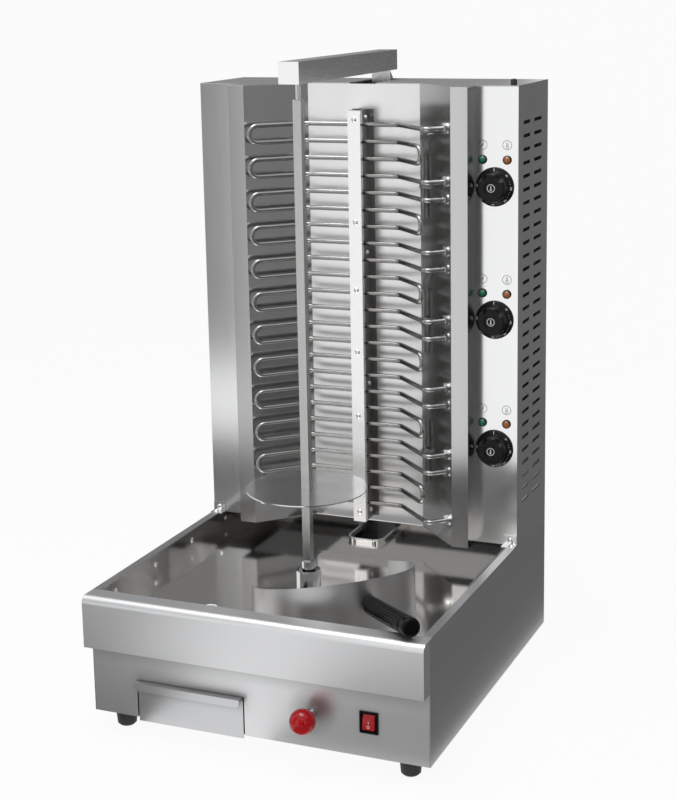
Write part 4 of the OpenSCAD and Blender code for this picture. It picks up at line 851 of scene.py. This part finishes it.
# %% Floor and backdrop
WHITE = (1, 1, 1, 1)
PAPER = (0.9, 0.9, 0.9, 1)
GLOW_SHARE = 0.93
SWEEP_SIDE, SWEEP_FRONT, SWEEP_BACK = 7, 7, 2.2
SWEEP_R, SWEEP_STEPS, SWEEP_RISE = 1.6, 16, 5


def is_seen(tree):
    """1 for a ray of the camera, of a reflection or through glass, and 0 for one that lights."""
    path = add_node(tree, "ShaderNodeLightPath").outputs
    seen = path["Is Camera Ray"]
    for kind in ("Is Glossy Ray", "Is Transmission Ray"):
        inputs = {0: seen, 1: path[kind]}
        seen = add_node(tree, "ShaderNodeMath", inputs, operation="MAXIMUM").outputs[0]
    return seen


def white_room():
    """A near-white sheet that shows as white to the camera and in steel, with a soft shadow."""
    material = bpy.data.materials.new("white_room")
    material.use_nodes = True
    tree = material.node_tree
    tree.nodes.clear()
    inputs = {0: is_seen(tree), 1: GLOW_SHARE}
    share = add_node(tree, "ShaderNodeMath", inputs, operation="MULTIPLY")
    paper = add_node(tree, "ShaderNodeBsdfDiffuse", {"Color": PAPER})
    glow = add_node(tree, "ShaderNodeEmission", {"Color": WHITE, "Strength": 1.0})
    inputs = {0: share.outputs[0], 1: paper.outputs[0], 2: glow.outputs[0]}
    mix = add_node(tree, "ShaderNodeMixShader", inputs)
    add_node(tree, "ShaderNodeOutputMaterial", {"Surface": mix.outputs[0]})
    return material


def stage_piece(name, bm, finish):
    """Turns a bmesh into a piece of the stage, which isn't part of the grill."""
    mesh = bpy.data.meshes.new(name)
    bm.to_mesh(mesh)
    bm.free()
    mesh.shade_smooth()
    piece = bpy.data.objects.new(name, mesh)
    scene.collection.objects.link(piece)
    mesh.materials.append(finish)
    return piece


bm = bmesh.new()
floor = [bm.verts.new((-SWEEP_SIDE, y, 0)) for y in (-SWEEP_FRONT, SWEEP_BACK)]
bm.edges.new(floor)
middle = (-SWEEP_SIDE, SWEEP_BACK, SWEEP_R)
bend = bmesh.ops.spin(
    bm, geom=[floor[1]], cent=middle, axis=(1, 0, 0), angle=math.radians(90), steps=SWEEP_STEPS
)["geom_last"]
wall = bmesh.ops.extrude_vert_indiv(bm, verts=verts_of(bend))["verts"]
bmesh.ops.translate(bm, verts=wall, vec=(0, 0, SWEEP_RISE))
sheet = bmesh.ops.extrude_edge_only(bm, edges=bm.edges[:])["geom"]
bmesh.ops.translate(bm, verts=verts_of(sheet), vec=(2 * SWEEP_SIDE, 0, 0))
stage_piece("white_sweep", bm, white_room())

# %% Cards
UP, DOWN, TO_BACK = (0, 0, 1), (0, 0, -1), (0, 1, 0)
ON_FLOOR = 2 * MM
UNDER_TOWER = 0.2025


def card(name, centre, size, facing, level):
    """A flat card that only the steel sees. Its level runs from 0, black, to 1, white."""
    material, _, shader = new_finish(
        name + "_card", (0, 0, 0), 0.0, 1.0, Emission_Strength=level
    )
    shader.inputs["Emission Color"].default_value = WHITE
    turn = Vector(facing).to_track_quat("Z", "Y").to_matrix().to_4x4()
    place = place_at(centre, turn) @ Matrix.Diagonal((size[0] / 2, size[1] / 2, 1, 1))
    bm = bmesh.new()
    bmesh.ops.create_grid(bm, x_segments=1, y_segments=1, size=1.0, matrix=place)
    piece = stage_piece(name, bm, material)
    piece.visible_camera = False
    piece.visible_diffuse = False
    piece.visible_shadow = False


card("card_behind_right", (1.0, 1.6, 0.9), (2.4, 2.0), (-0.4, -1, 0), 0.12)
card("card_right", (1.9, -0.45, 0.9), (1.9, 2.0), (-1, 0.25, 0), 0.26)
card("card_front_right", (0.9, -2.5, 0.9), (2.2, 2.0), TO_BACK, 0.05)
card("card_front_left", (-1.75, -1.5, 0.95), (1.8, 2.0), (0.1, 1, 0), 0.16)
card("card_behind_left", (-1.1, 1.3, 1.0), (2.0, 1.8), (0.5, -1, 0), 0.16)
card("card_floor_right", (0.94, 0.75, ON_FLOOR), (1.34, 2.7), UP, 0.10)
card("card_floor_front", (1.1, -1.4, ON_FLOOR), (1.5, 2.1), UP, 0.05)
card("card_floor_apron_left", (-0.67, -0.70, ON_FLOOR), (0.66, 0.40), UP, 0.05)
card("card_floor_nose_left", (-0.58, -0.37, ON_FLOOR), (0.78, 0.24), UP, 0.08)
card("card_floor_nose_right", (0.17, -0.49, ON_FLOOR), (0.34, 0.42), UP, 0.22)
card("card_under_tower", (0.078, 0.19, UNDER_TOWER), (0.31, 0.11), DOWN, 0.24)
card("card_under_tower_left", (-0.156, 0.19, UNDER_TOWER), (0.155, 0.11), DOWN, 0.05)
card("card_front_bright", (-0.53, -1.45, 0.45), (0.78, 1.1), TO_BACK, 1.0)

# %% Soft boxes and the room's own light
ROOM_LIGHT, ROOM_SEEN = 0.45, 0.98
world = bpy.data.worlds.new("room")
scene.world = world
world.use_nodes = True
tree = world.node_tree
tree.nodes.clear()
level = spread(tree, is_seen(tree), ROOM_LIGHT, ROOM_SEEN)
sky = add_node(tree, "ShaderNodeBackground", {"Color": WHITE, "Strength": level})
add_node(tree, "ShaderNodeOutputWorld", {"Surface": sky.outputs[0]})


def soft_box(name, at, towards, width, height, power):
    """A soft box that faces a point. Its power is in watts."""
    light = bpy.data.lights.new(name, "AREA")
    light.shape = "RECTANGLE"
    light.size, light.size_y, light.energy = width, height, power
    box = bpy.data.objects.new(name, light)
    scene.collection.objects.link(box)
    aim = (Vector(towards) - Vector(at)).to_track_quat("-Z", "Y").to_matrix().to_4x4()
    box.matrix_world = place_at(at, aim)


soft_box("key_box", (-1.9, -1.75, 0.45), (0, -0.2, 0.35), 0.35, 0.6, 4)
soft_box("fill_box", (0.5, -2.6, 1.1), (0, -0.1, 0.4), 0.5, 0.8, 10)
soft_box("top_box", (-0.2, -0.4, 2.6), (0, 0.1, 0.2), 1.4, 1.0, 24)
print(len(bpy.data.lights), "soft boxes")
